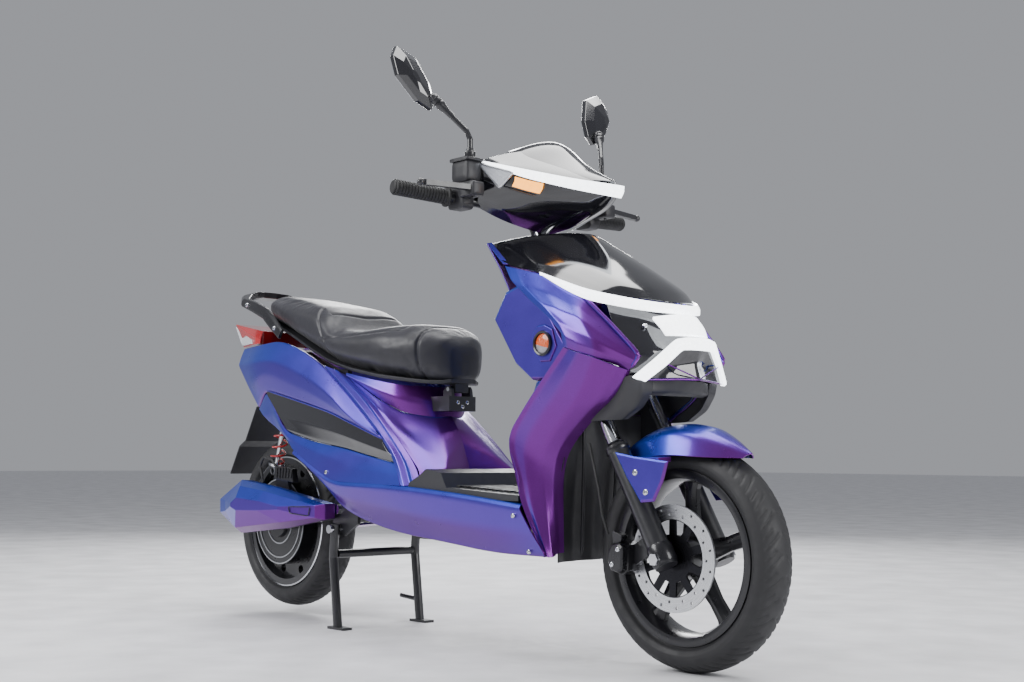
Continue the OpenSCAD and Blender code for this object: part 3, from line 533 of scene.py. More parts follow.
def faceted(name, rings, body, slot, replaces=(), bevel=2.0, material=None, soft=12):
    """Solid through closed rings of points in millimetres, closed by flat ends, with every
    edge sharper than the soft angle rounded off."""
    rings = np.asarray(rings, float) * MM
    count = rings.shape[1]
    walls = grid_faces(len(rings), count, wrap_columns=True).tolist()
    last = (len(rings) - 1) * count
    ends = [list(range(count)), list(range(last, last + count))]
    mesh = bpy.data.meshes.new(name)
    mesh.from_pydata(rings.reshape(-1, 3).tolist(), [], walls + ends)
    work = bmesh.new()
    work.from_mesh(mesh)
    bmesh.ops.remove_doubles(work, verts=work.verts, dist=1e-6)
    bmesh.ops.recalc_face_normals(work, faces=work.faces)
    work.to_mesh(mesh)
    work.free()
    mesh.shade_smooth()
    piece = bpy.data.objects.new(name, mesh)
    bpy.context.collection.objects.link(piece)
    mesh.materials.append(material or MATERIALS[slot])
    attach(piece, body)
    if replaces:
        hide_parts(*replaces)
    rim = piece.modifiers.new("rim", "BEVEL")
    rim.width = bevel * MM
    rim.segments = 3
    rim.limit_method = "ANGLE"
    rim.angle_limit = math.radians(soft)
    rim.harden_normals = True
    return piece


def inset_rings(outline, levels):
    """Rings of a plate: its (x, z) outline drawn in towards its middle by a share, at each y."""
    outline = np.asarray(outline, float)
    middle = outline.mean(axis=0)
    return [np.column_stack([middle[0] + (outline[:, 0] - middle[0]) * share,
                             np.full(len(outline), y),
                             middle[1] + (outline[:, 1] - middle[1]) * share])
            for y, share in levels]


def bead(name, path, radius, body, slot, smooth=3):
    """Thin moulded edge along a path of points in millimetres, tapering to both ends, and its
    mirror image."""
    path = np.asarray(path, float)
    t = np.linspace(0, len(path) - 1, (len(path) - 1) * 8 + 1)
    route = np.stack([np.interp(t, np.arange(len(path)), path[:, k]) for k in range(3)], axis=1)
    for _ in range(smooth):
        route[1:-1] = (route[:-2] + 2 * route[1:-1] + route[2:]) / 4
    size = radius * np.clip(np.minimum(t, len(path) - 1 - t) * 3 + 0.35, 0, 1)
    tube = sweep(route * MM, size * MM, 10)
    put(name, *joined(tube, mirrored(tube)), MATERIALS[slot], body, slot)


MATERIALS = make_materials()
aim_camera()
make_studio()
paint_cad_nodes()

# ---- side panels, from neighbouring edges that they share ----

FLOOR_TOP = [(389, -180, 314), (195, -182, 332), (-2, -182, 344), (-150, -180, 347),
             (-273, -172, 349), (-366, -168, 385), (-458, -160, 423)]
FLOOR_MID = [(418, -177, 262), (240, -176, 265), (40, -174, 282), (-120, -169, 302),
             (-268, -166, 316), (-352, -166, 366), (-445, -160, 411)]
FLOOR_LOW = [(446, -168, 213), (272, -150, 211), (100, -147, 227), (-80, -140, 239),
             (-262, -142, 278), (-318, -160, 337), (-432, -157, 397)]
SEAM = [(-790, -98, 696), (-664, -130, 698), (-567, -130, 704), (-460, -137, 674),
        (-366, -141, 632), (-240, -150, 551), (-124, -158, 470)]
INSERT_TOP = [(-630, -130, 579), (-474, -142, 549), (-318, -152, 517), (-200, -157, 482),
              (-96, -160, 451)]
INSERT_LOW = [(-511, -148, 471), (-387, -151, 446), (-246, -158, 429), (-150, -160, 412),
              (-45, -160, 395)]
OUT = (0, -1, 0)


def moved(row, y=0.0, z=0.0):
    """The row of points, shifted across and up."""
    return [(a, b + y, c + z) for a, b, c in row]


def leg_shield_net():
    """Seven rows of rear edge, middle and front edge, widened to a chamfer behind, the main
    face, a crease and a turned-in lip in front."""
    rows = np.array([
        [(519, -190, 627), (590, -168, 603), (636, -124, 579)],
        [(451, -190, 558), (545, -160, 530), (600, -128, 527)],
        [(400, -190, 503), (485, -157, 478), (541, -124, 494)],
        [(353, -190, 448), (432, -156, 422), (465, -122, 432)],
        [(385, -190, 371), (428, -152, 371), (445, -122, 378)],
        [(389, -180, 314), (436, -150, 300), (446, -122, 305)],
        [(446, -168, 213), (454, -145, 213), (446, -120, 220)]], float)
    rear, middle, front = rows[:, 0], rows[:, 1], rows[:, 2]
    ahead = (front - rear) / np.linalg.norm(front - rear, axis=1, keepdims=True)
    return np.stack([rear + (0, 15, 0), rear + ahead * 2, rear + ahead * 15 + (0, -1, 0),
                     0.5 * (rear + middle) + (0, -4, 0), middle + (0, -3, 0),
                     0.3 * middle + 0.7 * front + (0, -6, 0), front - ahead * 4,
                     front + (0, 10, 0)], axis=1)


pair("leg_shield", leg_shield_net(), "chassis", "paint", OUT, ["leg_shields"],
     steps=(10, 6), width=(1.1, 0.22))

pair("side_wing", [
    [(306, -140, 812), (308, -152, 810), (350, -158, 801), (426, -157, 781), (541, -153, 730),
     (602, -138, 671), (668, -124, 606)],
    [(340, -150, 778), (342, -166, 776), (388, -172, 762), (452, -170, 742), (541, -168, 706),
     (602, -148, 660), (667, -126, 604)],
    [(410, -160, 730), (412, -178, 728), (452, -186, 720), (500, -184, 704), (560, -178, 680),
     (612, -155, 640), (664, -127, 600)],
    [(474, -170, 690), (476, -188, 689), (506, -192, 680), (540, -187, 662), (590, -178, 640),
     (630, -152, 615), (660, -127, 594)],
    [(512, -172, 655), (515, -189, 655), (530, -192, 646), (556, -186, 632), (596, -174, 616),
     (624, -148, 601), (652, -126, 589)],
    [(517, -172, 630), (519, -188, 629), (532, -187, 624), (554, -180, 616), (590, -168, 604),
     (612, -143, 592), (634, -122, 580)]], "chassis", "paint", OUT, ["side_wings"],
     steps=(8, 8), width=(0.2, 0.3))
bead("wing_lip", [(428, -160, 783), (541, -157, 732), (603, -142, 673), (668, -128, 608),
                  (645, -125, 584)], 4.2, "chassis", "paint")
pair("cover_edge_strip", [[(232, -136, 869), (246, -133, 869)], [(304, -153, 815), (322, -151, 813)]],
     "chassis", "paint", OUT, steps=(6, 4), width=(0.5, 0.5), thick=3.0)

pair("floor_side", [
    moved(FLOOR_TOP, y=14, z=3), moved(FLOOR_TOP, y=2, z=2), moved(FLOOR_TOP, y=-2, z=-7),
    FLOOR_MID, moved(FLOOR_LOW, z=8), moved(FLOOR_LOW, y=4), moved(FLOOR_LOW, y=34, z=1)],
     "chassis", "paint", OUT, ["floor_sides"], steps=(5, 14), width=(0.25, 1.0))

pair("tail_upper", [
    moved(SEAM, y=8, z=-2), SEAM,
    [(-800, -101, 676), (-676, -135, 678), (-584, -142, 680), (-480, -147, 655),
     (-350, -152, 604), (-230, -158, 525), (-118, -160, 464)],
    [(-812, -102, 652), (-696, -139, 652), (-600, -152, 655), (-504, -156, 636),
     (-330, -163, 574), (-212, -166, 496), (-110, -162, 459)],
    [(-762, -101, 592), (-690, -131, 606), (-616, -146, 624), (-484, -151, 590),
     (-324, -159, 541), (-206, -162, 488), (-104, -161, 455)],
    [(-711, -100, 537), (-670, -116, 559), *INSERT_TOP],
    [(-704, -86, 540), (-662, -103, 562), *moved(INSERT_TOP, y=12, z=2)]],
     "chassis", "paint", OUT, ["tail_panels"], steps=(7, 10), width=(0.3, 0.9))
pair("tail_lower", [
    [(-706, -90, 537), (-626, -118, 577), *moved(INSERT_LOW, y=12, z=-2)],
    [(-711, -100, 534), (-630, -130, 576), *INSERT_LOW],
    [(-672, -112, 516), (-600, -130, 520), (-508, -152, 462), (-420, -160, 436),
     (-306, -167, 410), (-210, -168, 382), (-22, -172, 372)],
    [(-640, -116, 501), (-575, -128, 478), (-505, -148, 453), (-458, -160, 425),
     (-366, -168, 387), (-273, -172, 351), (-2, -181, 346)]],
     "chassis", "paint", OUT, ["tail_panels"], steps=(8, 10), width=(0.35, 0.5))
pair("side_blade", [
    moved(INSERT_TOP, y=3), moved(INSERT_TOP, y=1, z=-10),
    [(-560, -143, 520), (-430, -151, 496), (-282, -160, 470), (-176, -164, 445),
     (-70, -163, 420)],
    moved(INSERT_LOW, y=2, z=8), moved(INSERT_LOW, y=4)],
     "chassis", "gloss_black", OUT, ["side_inserts"], steps=(8, 12), width=(0.3, 0.9))
bead("blade_edge", moved(INSERT_TOP, y=-1, z=-1), 1.6, "chassis", "paint")

# ---- pedestal under the seat ----

pair("pedestal_side", [
    [(-366, -139, 631), (-240, -147, 550), (-124, -156, 470), (-60, -159, 412), (-2, -179, 347)],
    [(-350, -140, 628), (-222, -150, 550), (-108, -158, 468), (-42, -161, 408), (8, -178, 346)],
    [(-326, -134, 620), (-200, -141, 548), (-90, -150, 462), (-22, -154, 402), (22, -170, 348)],
    [(-304, -138, 614), (-178, -146, 542), (-70, -154, 456), (-4, -158, 396), (34, -170, 350)],
    [(-286, -130, 606), (-160, -136, 532), (-52, -144, 446), (10, -148, 392), (46, -160, 352)]],
     "chassis", "paint", OUT, ["seat_pedestal"], steps=(8, 10), width=(0.25, 0.8))
pair("pedestal_front", [
    [(-62, 0, 496), (-74, -40, 500), (-128, -92, 518), (-190, -116, 550), (-266, -130, 600)],
    [(-44, 0, 506), (-54, -40, 502), (-104, -94, 512), (-166, -122, 545), (-274, -132, 604)],
    [(-16, 0, 474), (-16, -60, 462), (-66, -110, 470), (-112, -134, 500), (-160, -137, 534)],
    [(2, 0, 440), (40, -78, 408), (0, -112, 424), (-36, -134, 436), (-52, -143, 446)],
    [(24, 0, 388), (62, -98, 384), (52, -126, 376), (34, -140, 376), (20, -146, 384)],
    [(26, 0, 350), (64, -100, 350), (60, -130, 350), (52, -146, 350), (46, -158, 352)]],
     "chassis", "paint", (1, 0, 0), ["seat_pedestal"], steps=(8, 8), width=(0.25, 0.3))

# ---- nose ----

panel("nose_cover", [
    both_sides([(236, -128, 862), (300, -98, 872), (356, -60, 879), (428, 0, 880)]),
    both_sides([(232, -135, 868), (300, -108, 880), (360, -66, 888), (431, 0, 886)]),
    both_sides([(304, -153, 815), (376, -122, 836), (432, -78, 846), (498, 0, 848)]),
    both_sides([(426, -155, 786), (480, -128, 798), (524, -82, 803), (562, 0, 803)]),
    both_sides([(543, -150, 737), (576, -118, 754), (600, -76, 760), (612, 0, 757)]),
    both_sides([(585, -131, 725), (614, -98, 726), (634, -66, 724), (650, 0, 718)])],
    "chassis", "gloss_black", (1, 0, 1), ["front_cover"], steps=(10, 8), width=(0.9, 1.4))
panel("nose_fascia", [
    both_sides([(580, -128, 716), (620, -72, 704), (640, 0, 700)]),
    both_sides([(600, -132, 673), (640, -80, 664), (662, 0, 660)]),
    both_sides([(640, -122, 622), (672, -80, 616), (682, 0, 614)]),
    both_sides([(634, -118, 574), (664, -82, 562), (684, 0, 566)]),
    both_sides([(604, -122, 541), (614, -76, 552), (628, 0, 560)]),
    both_sides([(560, -118, 561), (560, -80, 590), (560, 0, 604)])],
    "chassis", "gloss_black", (1, 0, -0.2), ["nose_fascia"], steps=(8, 8), width=(0.3, 0.5))
panel("nose_recess", [
    both_sides([(700, -52, 626), (704, -26, 622), (706, 0, 622)]),
    both_sides([(686, -84, 592), (684, -36, 592), (700, 0, 596)]),
    both_sides([(670, -112, 562), (690, -40, 566), (708, 0, 566)])],
    "chassis", "gloss_black", (1, 0, 0), steps=(5, 5), width=(0.15, 0.15), thick=5)
bead("recess_edges", [(674, -110, 560), (694, -40, 563), (709, 0, 563)], 2.0, "chassis", "paint")
bead("recess_ribs", [(690, -84, 594), (700, -38, 578), (709, -2, 565)], 1.4, "chassis", "paint")
panel("inner_guard", [
    both_sides([(x, -118, z), (x - 14, -92, z), (y, -60, z), (y - 8, -30, z), (y - 2, 0, z)])
    for x, y, z in ((448, 430, 500), (450, 434, 430), (443, 428, 360), (438, 422, 280),
                    (438, 420, 199))],
    "chassis", "matte_black", (1, 0, 0), ["inner_guard"], steps=(8, 6), width=(0.8, 0.4))
bead("guard_ribs", [(438, -46, 486), (440, -48, 380), (434, -46, 262), (432, -46, 212)], 4,
     "chassis", "matte_black")

# ---- chin and wheel well, and the wall on the rider's side ----

panel("chin_front", [
    both_sides([(660, -86, 560), (680, -44, 562), (684, 0, 562)]),
    both_sides([(662, -84, 538), (670, -44, 538), (674, 0, 538)]),
    both_sides([(648, -82, 531), (652, -44, 532), (654, 0, 532)])],
    "chassis", "matte_black", (1, 0, 0), steps=(6, 6), width=(0.5, 0.5), thick=3)
pair("chin_side", [
    [(600, -125, 558), (634, -123, 570), (662, -116, 568), (664, -84, 560)],
    [(586, -123, 530), (626, -121, 540), (658, -112, 536), (662, -84, 538)],
    [(548, -121, 500), (610, -121, 508), (640, -108, 506), (640, -86, 508)],
    [(518, -118, 482), (572, -117, 484), (604, -106, 485), (602, -90, 486)]],
    "chassis", "matte_black", OUT, steps=(7, 7), width=(0.5, 0.5), thick=3)
pair("well_side", [
    [(400, -119, 580), (480, -119, 580), (590, -119, 568)],
    [(420, -119, 540), (500, -119, 536), (590, -119, 534)],
    [(447, -118, 500), (490, -118, 500), (534, -118, 500)],
    [(447, -118, 448), (456, -118, 448), (468, -118, 450)],
    [(440, -118, 371), (442, -118, 371), (444, -118, 371)]],
    "chassis", "matte_black", (0, 1, 0), steps=(6, 6), width=(0.5, 0.5), thick=2)
panel("well_back", [
    both_sides([(448, -118, 502), (436, -92, 502), (430, -60, 502), (426, -26, 502), (428, 0, 502)]),
    both_sides([(438, -118, 519), (420, -92, 519), (414, -60, 519), (418, -26, 519), (428, 0, 519)]),
    both_sides([(428, -118, 534), (408, -92, 534), (403, -60, 534), (412, -26, 534), (427, 0, 534)])],
    "chassis", "matte_black", (1, 0, 0), steps=(6, 6), width=(0.6, 0.6))
panel("inner_wall_upper", [
    both_sides([(x + 12, -141, z), (x + 1, -133, z), (x - 3, -60, z), (x - 3, 0, z)])
    for x, z in ((228, 866), (272, 806), (302, 756), (268, 700), (335, 602), (386, 566))],
    "chassis", "paint", (-1, 0, 0), ["inner_shield"], steps=(8, 8), width=(0.35, 0.5))
panel("inner_wall_lower", [
    both_sides([(edge + 6, -187, z), (edge - 3, -178, z), (0.7 * x + 0.3 * edge, -152, z),
                (x, -122, z), (x, 0, z)])
    for edge, x, z in ((452, 386, 564), (398, 372, 500), (353, 348, 448), (384, 372, 371),
                       (388, 381, 336))],
    "chassis", "paint", (-1, 0, 0), ["inner_shield"], steps=(8, 8), width=(0.5, 0.6))
put("key_bezel", *turned([(-3, 19), (2, 19), (4, 17), (4, 14), (1, 13.4), (-3, 13.4)],
    (285, -60, 782), (-0.857, 0, 0.515), 40), MATERIALS["cast_black"], "chassis", "cast_black",
    sharp=30)

headlight_net = [
    both_sides([(650, -70, 686), (672, -34, 692), (678, 0, 694)]),
    both_sides([(666, -68, 670), (690, -33, 672), (698, 0, 672)]),
    both_sides([(678, -62, 650), (698, -32, 650), (708, 0, 650)])]
panel("headlight_lens", headlight_net, "chassis", "white_light", (1, 0, 0), ["headlight"],
      steps=(8, 8), width=(0.8, 0.8), thick=8)
strip = np.array([
    [(426, -162, 786), (480, -164, 768), (547, -161, 744), (590, -139, 731), (632, -79, 719),
     (662, 0, 713)],
    [(428, -165, 784), (484, -168, 761), (550, -165, 733), (595, -142, 720), (638, -81, 709),
     (668, 0, 704)],
    [(428, -164, 782), (486, -167, 752), (550, -164, 722), (594, -141, 709), (640, -80, 698),
     (668, 0, 694)]], float)
panel("nose_light_strip", [both_sides(row) for row in strip], "chassis", "white_light", (1, 0, 0),
      ["running_lights"], steps=(4, 10), width=(0.6, 0.9), thick=5)
panel("nose_light_arch", [
    both_sides([(662, -140, 566), (682, -100, 602), (700, -60, 640), (707, -30, 645), (712, 0, 645)]),
    both_sides([(670, -130, 560), (694, -88, 592), (708, -52, 630), (713, -26, 633), (716, 0, 633)]),
    both_sides([(674, -118, 556), (694, -80, 588), (706, -46, 619), (712, -24, 620), (715, 0, 620)])],
    "chassis", "white_light", (1, 0, 0), ["running_lights"], steps=(5, 6), width=(0.5, 0.35),
    thick=8)

# ---- storage boxes and reflectors beside the knees ----

BOX_OUTLINE = [(306, 756), (271, 701), (339, 604), (390, 568), (450, 566), (500, 620),
               (430, 716), (352, 770)]
FRAME_OUTLINE = [(394, 660), (400, 628), (418, 606), (446, 606), (464, 634), (452, 668),
                 (430, 678), (408, 676)]
for side, name in ((1, "right"), (-1, "left")):
    flip = np.array([1.0, side, 1.0])
    faceted("knee_box_" + name, np.array(inset_rings(
        BOX_OUTLINE, [(-139, 1.0), (-145, 1.0), (-150, 0.94), (-150, 0.5)])) * flip,
        "chassis", "paint", bevel=1.6)
    faceted("reflector_seat_" + name, np.array(inset_rings(
        FRAME_OUTLINE, [(-146, 1.15), (-153, 1.0), (-153, 0.5)])) * flip, "chassis", "paint",
        bevel=1.2)
    ring = turned([(0, 26), (9, 26), (11, 24), (10, 21), (6, 20.5), (4, 20)], (427, -148, 641), OUT, 48)
    lens = turned([(2, 21), (6, 20.6), (8.4, 16), (9.4, 9), (9.8, 2)], (427, -148, 641), OUT, 48)
    for part, piece, finish_of, slot_of in (
            (ring, "reflector_bezel_", "cast_black", "cast_black"),
            (lens, "reflector_lens_", "reflector", "amber")):
        put(piece + name, *(part if side > 0 else mirrored(part)), MATERIALS[finish_of], "chassis",
            slot_of, ["knee_reflectors"] if slot_of == "amber" else ())

# ---- seat: padded cushion with a welted seam across the step and along its sides ----

SEAT_STATIONS = [(12, 600, 640, 16), (8, 590, 670, 42), (-8, 587, 694, 66), (-38, 588, 709, 92),
                 (-80, 593, 715, 115), (-160, 604, 714, 138), (-260, 623, 709, 144),
                 (-335, 642, 713, 144), (-362, 650, 734, 141), (-384, 658, 758, 139),
                 (-430, 676, 782, 136), (-520, 714, 800, 129), (-600, 744, 816, 116),
                 (-686, 774, 829, 92), (-726, 794, 826, 62)]


def seat_shell(count=112, around=72):
    """Closed shell through the stations: at each x a rounded-square section, the superellipse
    |y / w| ** 5 + |z / h| ** 3.6 = 1 leaned out at the bottom, drawn in to both ends."""
    s = np.array(SEAT_STATIONS, float)
    t = np.linspace(0, len(s) - 1, count)
    s = np.stack([np.interp(t, np.arange(len(s)), s[:, k]) for k in range(4)], axis=1)
    for _ in range(3):
        s[1:-1] = (s[:-2] + 2 * s[1:-1] + s[2:]) / 4
    a = np.linspace(0, 2 * np.pi, around, endpoint=False)
    cy, cz = np.cos(a), np.sin(a)
    y = np.sign(cy) * np.abs(cy) ** (2 / 5)
    z = np.sign(cz) * np.abs(cz) ** (2 / 3.6)
    middle, half = (s[:, 1] + s[:, 2]) / 2, (s[:, 2] - s[:, 1]) / 2
    lean = 1 - 0.10 * np.clip(-z, 0, 1) ** 2 - 0.10 * np.clip(z, 0, 1) ** 4
    points = np.stack([np.broadcast_to(s[:, :1], (count, around)), s[:, 3:] * (y * lean),
                       middle[:, None] + half[:, None] * z], axis=-1)
    caps = points.mean(axis=1, keepdims=True)
    points = np.concatenate([np.broadcast_to(caps[:1], (1, around, 3)), points,
                             np.broadcast_to(caps[-1:], (1, around, 3))]) * MM
    return points.reshape(-1, 3), grid_faces(count + 2, around, wrap_columns=True)


def inflate(piece, frames, reach):
    """Voxel remesh, then cloth under pressure; no point may move further than reach."""
    remesh = piece.modifiers.new("remesh", "REMESH")
    remesh.mode = "VOXEL"
    remesh.voxel_size = 0.006
    bpy.context.view_layer.objects.active = piece
    bpy.ops.object.modifier_apply(modifier="remesh")
    start = np.empty(len(piece.data.vertices) * 3, np.float32)
    piece.data.vertices.foreach_get("co", start)
    cloth = piece.modifiers.new("cloth", "CLOTH")
    cloth.settings.use_pressure = True
    cloth.settings.uniform_pressure_force = 4.0
    cloth.settings.effector_weights.gravity = 0.0
    cloth.settings.quality = 4
    cloth.point_cache.frame_start, cloth.point_cache.frame_end = 1, frames
    scene = bpy.context.scene
    for frame_number in range(1, frames + 1):
        scene.frame_set(frame_number)
    shape = piece.evaluated_get(bpy.context.evaluated_depsgraph_get()).data
    end = np.empty_like(start)
    shape.vertices.foreach_get("co", end)
    piece.modifiers.remove(cloth)
    move = (end - start).reshape(-1, 3)
    size = np.linalg.norm(move, axis=1, keepdims=True)
    move *= np.minimum(1.0, reach / np.maximum(size, 1e-9))
    piece.data.vertices.foreach_set("co", (start.reshape(-1, 3) + move).ravel())
    scene.frame_set(1)


def seam_depth(p):
    """Depth of the sewn channels at each point: narrow valleys exp(-(d / width) ** 2) along
    the step seam, the nose seam, and the welt under the top edge of the rider's part."""
    x, y, z = p[:, 0], np.abs(p[:, 1]), p[:, 2]
    step = (x + 0.392) - 0.52 * (0.722 - z) * (y > 0.1) - 0.5 * (0.03 - 0.2 * y) * (y <= 0.1)
    nose = x + 0.052
    upper = z - (0.700 + 0.012 * np.clip((x + 0.3) / 0.3, -1, 1))
    rider = (x > -0.40) & (x < -0.052)
    depth = np.exp(-(step / 0.0035) ** 2) * (z > 0.62)
    depth += np.exp(-(nose / 0.0030) ** 2)
    depth += np.exp(-(upper / 0.0032) ** 2) * rider * (y > 0.095) * 0.7
    return 0.0045 * np.clip(depth, 0, 1)


def make_seat():
    """Cushion: the shell inflated as cloth, then pressed in along its seams."""
    seat = put("seat_cushion_cover", *seat_shell(), MATERIALS["vinyl"], "seat", "vinyl",
               ["seat_cushion"], sharp=0)
    inflate(seat, 20, 0.006)
    fine = seat.modifiers.new("fine", "SUBSURF")
    fine.levels = fine.render_levels = 1
    bpy.context.view_layer.objects.active = seat
    bpy.ops.object.modifier_apply(modifier="fine")
    count = len(seat.data.vertices)
    points, normals = np.empty(count * 3, np.float32), np.empty(count * 3, np.float32)
    seat.data.vertices.foreach_get("co", points)
    seat.data.vertices.foreach_get("normal", normals)
    points, normals = points.reshape(-1, 3), normals.reshape(-1, 3)
    points -= normals * seam_depth(points)[:, None]
    seat.data.vertices.foreach_set("co", points.ravel())
    seat.data.update()
    seat.data.shade_smooth()


make_seat()
faceted("seat_tray", [[(x - 6, -0.86 * w, low - 10), (x - 6, 0.86 * w, low - 10),
                       (x - 6, 0.9 * w, low - 1), (x - 6, -0.9 * w, low - 1)]
                      for x, low, _, w in SEAT_STATIONS], "seat", "matte_black", ["seat_base"],
        bevel=2.5, soft=25)
faceted("seat_hinge_lug", [[(-27, y, 558), (-3, y, 558), (-3, y, 582), (-27, y, 582)]
                           for y in (-20, 20)], "seat", "matte_black", ["seat_base"], bevel=3)
put("seat_hinge_pin", *turned([(0, 5), (68, 5)], (-15, 34, 566), OUT, 24), MATERIALS["steel"],
    "seat", "steel")
panel("pedestal_collar", [
    both_sides([(-280, -130, 610), (-184, -120, 590), (-116, -100, 577), (-84, -52, 574),
                (-78, 0, 574)]),
    both_sides([(-276, -135, 604), (-172, -127, 568), (-102, -104, 544), (-66, -54, 540),
                (-58, 0, 540)]),
    both_sides([(-272, -130, 600), (-166, -120, 546), (-102, -94, 512), (-58, -40, 502),
                (-50, 0, 500)])],
    "chassis", "paint", (1, 0, 0), ["seat_pedestal"], steps=(7, 10), width=(0.4, 0.8))
screws("hinge_screws", [(-3, -14, 536), (-3, 14, 536), (-3, 0, 526)], (1, 0, 0), 5, "chassis")

# ---- front mudguard, fork and caliper ----

panel("front_mudguard_blade", [
    both_sides([(556, -57, 386), (552, -50, 418), (550, -28, 427), (548, 0, 430)]),
    both_sides([(600, -59, 408), (600, -55, 448), (600, -32, 461), (598, 0, 465)]),
    both_sides([(660, -77, 416), (661, -65, 462), (661, -34, 475), (660, 0, 478)]),
    both_sides([(716, -77, 417), (716, -61, 463), (717, -32, 476), (718, 0, 479)]),
    both_sides([(764, -66, 413), (769, -47, 446), (773, -24, 456), (776, 0, 459)]),
    both_sides([(827, -17, 412), (831, -10, 418), (834, -5, 420), (836, 0, 421)])],
    "fork", "paint", (0, 0, 1), ["front_mudguard"], steps=(10, 6), width=(1.3, 0.5), thick=3.5)
PLATE_OUTLINE = [(589, 422), (640, 414), (726, 405), (712, 366), (691, 329), (657, 326), (620, 374)]
for side, name in ((1, "right"), (-1, "left")):
    flip = np.array([1.0, side, 1.0])
    faceted("mudguard_plate_" + name, np.array(inset_rings(
        PLATE_OUTLINE, [(-109.6, 0.97), (-110.4, 1.0), (-113, 1.0), (-114.6, 0.9), (-114.6, 0.5)]))
        * flip, "fork", "paint", ["front_mudguard"], bevel=0.8)
    faceted("mudguard_bracket_" + name, np.array([
        [(x, -y, 404), (x, -y, 414), (x, -111, 412), (x, -111, 403)] for x, y in
        ((612, 60), (650, 74), (700, 74))]) * flip, "fork", "paint", bevel=1)
    seal = turned([(-14, 22.6), (-12, 24.4), (-6, 24.6), (-4, 23), (0, 23), (2, 21), (5, 19.5),
                   (8, 16.5)], (567.5, -85 * side, 432.2), (-0.5, 0, 0.8660254), 40)
    foot = turned([(0, 23), (5, 25.5), (34, 25.5), (40, 23.2)], (696, -85 * side, 209.6),
                  (-0.5, 0, 0.8660254), 40)
    put("fork_leg_trim_" + name, *joined(seal, foot), MATERIALS["cast_black"], "fork", "cast_black")
screws("plate_screws_right", [(644, -114.6, 383), (671, -114.6, 346)], OUT, 6.5, "fork")
screws("plate_screws_left", [(644, 114.6, 383), (671, 114.6, 346)], (0, 1, 0), 6.5, "fork")
CALIPER_OUTLINE = [(604, 192), (606, 242), (594, 250), (570, 246), (561, 230), (560, 206),
                   (570, 188), (592, 184)]
faceted("caliper_casting", inset_rings(CALIPER_OUTLINE, [
    (-108, 0.72), (-105, 0.86), (-94, 0.92), (-90, 1.0), (-64, 1.0), (-52, 0.94), (-48, 0.8)]),
    "fork", "cast_black", ["brake_caliper"], bevel=1.6)
faceted("caliper_bridge", [[(x, y, z) for x, y, z in ring] for ring in (
    [(566, -96, 226), (592, -96, 246), (606, -112, 262), (580, -112, 270)],
    [(566, -84, 226), (592, -84, 246), (606, -92, 262), (580, -92, 270)])],
    "fork", "cast_black", bevel=2)
screws("caliper_bolts", [(576, -108, 204), (592, -108, 234)], OUT, 5.5, "fork")

# ---- wheels ----


def loop(points, steps, width):
    """Rounded polyline through the control points, by the hat weights."""
    return hat_weights(len(points), steps, width) @ np.array(points, float)


def tyre(name, centre, body, node, slant):
    """Round tyre with its section turned about the axle. The crown sinks 3 mm where a slanted
    groove runs: the angle times 34 plus slant times the distance off the middle, taken
    modulo one, lies in a narrow band. A fine ring stands proud on each wall."""
    outer = loop([(160, -33), (171, -33.2), (176, -43.5), (190, -47.6), (203, -42), (212, -32),
                  (217.6, -18), (220.4, 0), (217.6, 18), (212, 32), (203, 42), (190, 47.6),
                  (176, 43.5), (171, 33.2), (160, 33)], 6, 0.8)
    inner = np.array([(160, 24), (178, 37), (194, 38), (207, 22), (212, 0), (207, -22),
                      (194, -38), (178, -37), (160, -24)], float)
    profile = np.concatenate([outer, inner])
    count = 612
    angle = np.linspace(0, 2 * np.pi, count, endpoint=False)[:, None]
    radius, off = profile[:, 0][None], profile[:, 1][None]
    crown = np.arange(len(profile))[None] < len(outer)
    wave = np.mod(angle * 34 / (2 * np.pi) + slant * np.abs(off) / 42, 1.0)
    band = np.exp(-((wave - 0.5) / 0.075) ** 2)
    other = np.exp(-((np.mod(wave + 0.5, 1.0) - 0.5) / 0.06) ** 2) * (np.abs(off) > 20)
    tread = crown * np.clip((radius - 203) / 6, 0, 1) * np.clip((np.abs(off) - 3) / 4, 0, 1)
    wall = crown * np.exp(-((radius - 185) / 1.6) ** 2) * 0.9
    depth = 3.0 * tread * np.clip(band + other, 0, 1)
    r = (radius - depth) * MM
    side = (off + np.sign(off) * wall) * MM
    points = np.stack([r * np.cos(angle), np.broadcast_to(-side, r.shape), r * np.sin(angle)],
                      axis=-1) + centre
    put(name, points.reshape(-1, 3), grid_faces(count, len(profile), True, True),
        MATERIALS["tyre"], body, "tyre", [node], sharp=0)


tyre("front_tyre_treaded", FRONT_AXLE, "front_wheel", "front_tyre", 0.9)
tyre("rear_tyre_treaded", REAR_AXLE, "rear_wheel", "rear_tyre", 0.9)

RIM = [(168.4, -37), (168.6, -33.6), (161, -33.4), (157, -21), (152.5, -13), (152, 0),
       (152.5, 13), (157, 21), (161, 33.4), (168.6, 33.6), (168.4, 37), (163, 38), (152, 36),
       (147, 27), (145, 12), (144, 0), (145, -12), (147, -27), (152, -36), (163, -38)]
put("front_rim_barrel", *spin(RIM, FRONT_AXLE, 160), MATERIALS["cast_black"], "front_wheel",
    "cast_black", ["front_rim"], sharp=30)
hub_profile = [(-41, 18), (-40, 30), (-36, 34), (-20, 36), (0, 38), (20, 40), (30, 44),
               (50, 44), (55, 40), (55, 16)]
put("front_hub", *turned(hub_profile, FRONT_AXLE / MM, OUT, 64), MATERIALS["cast_black"],
    "front_wheel", "cast_black", sharp=30)


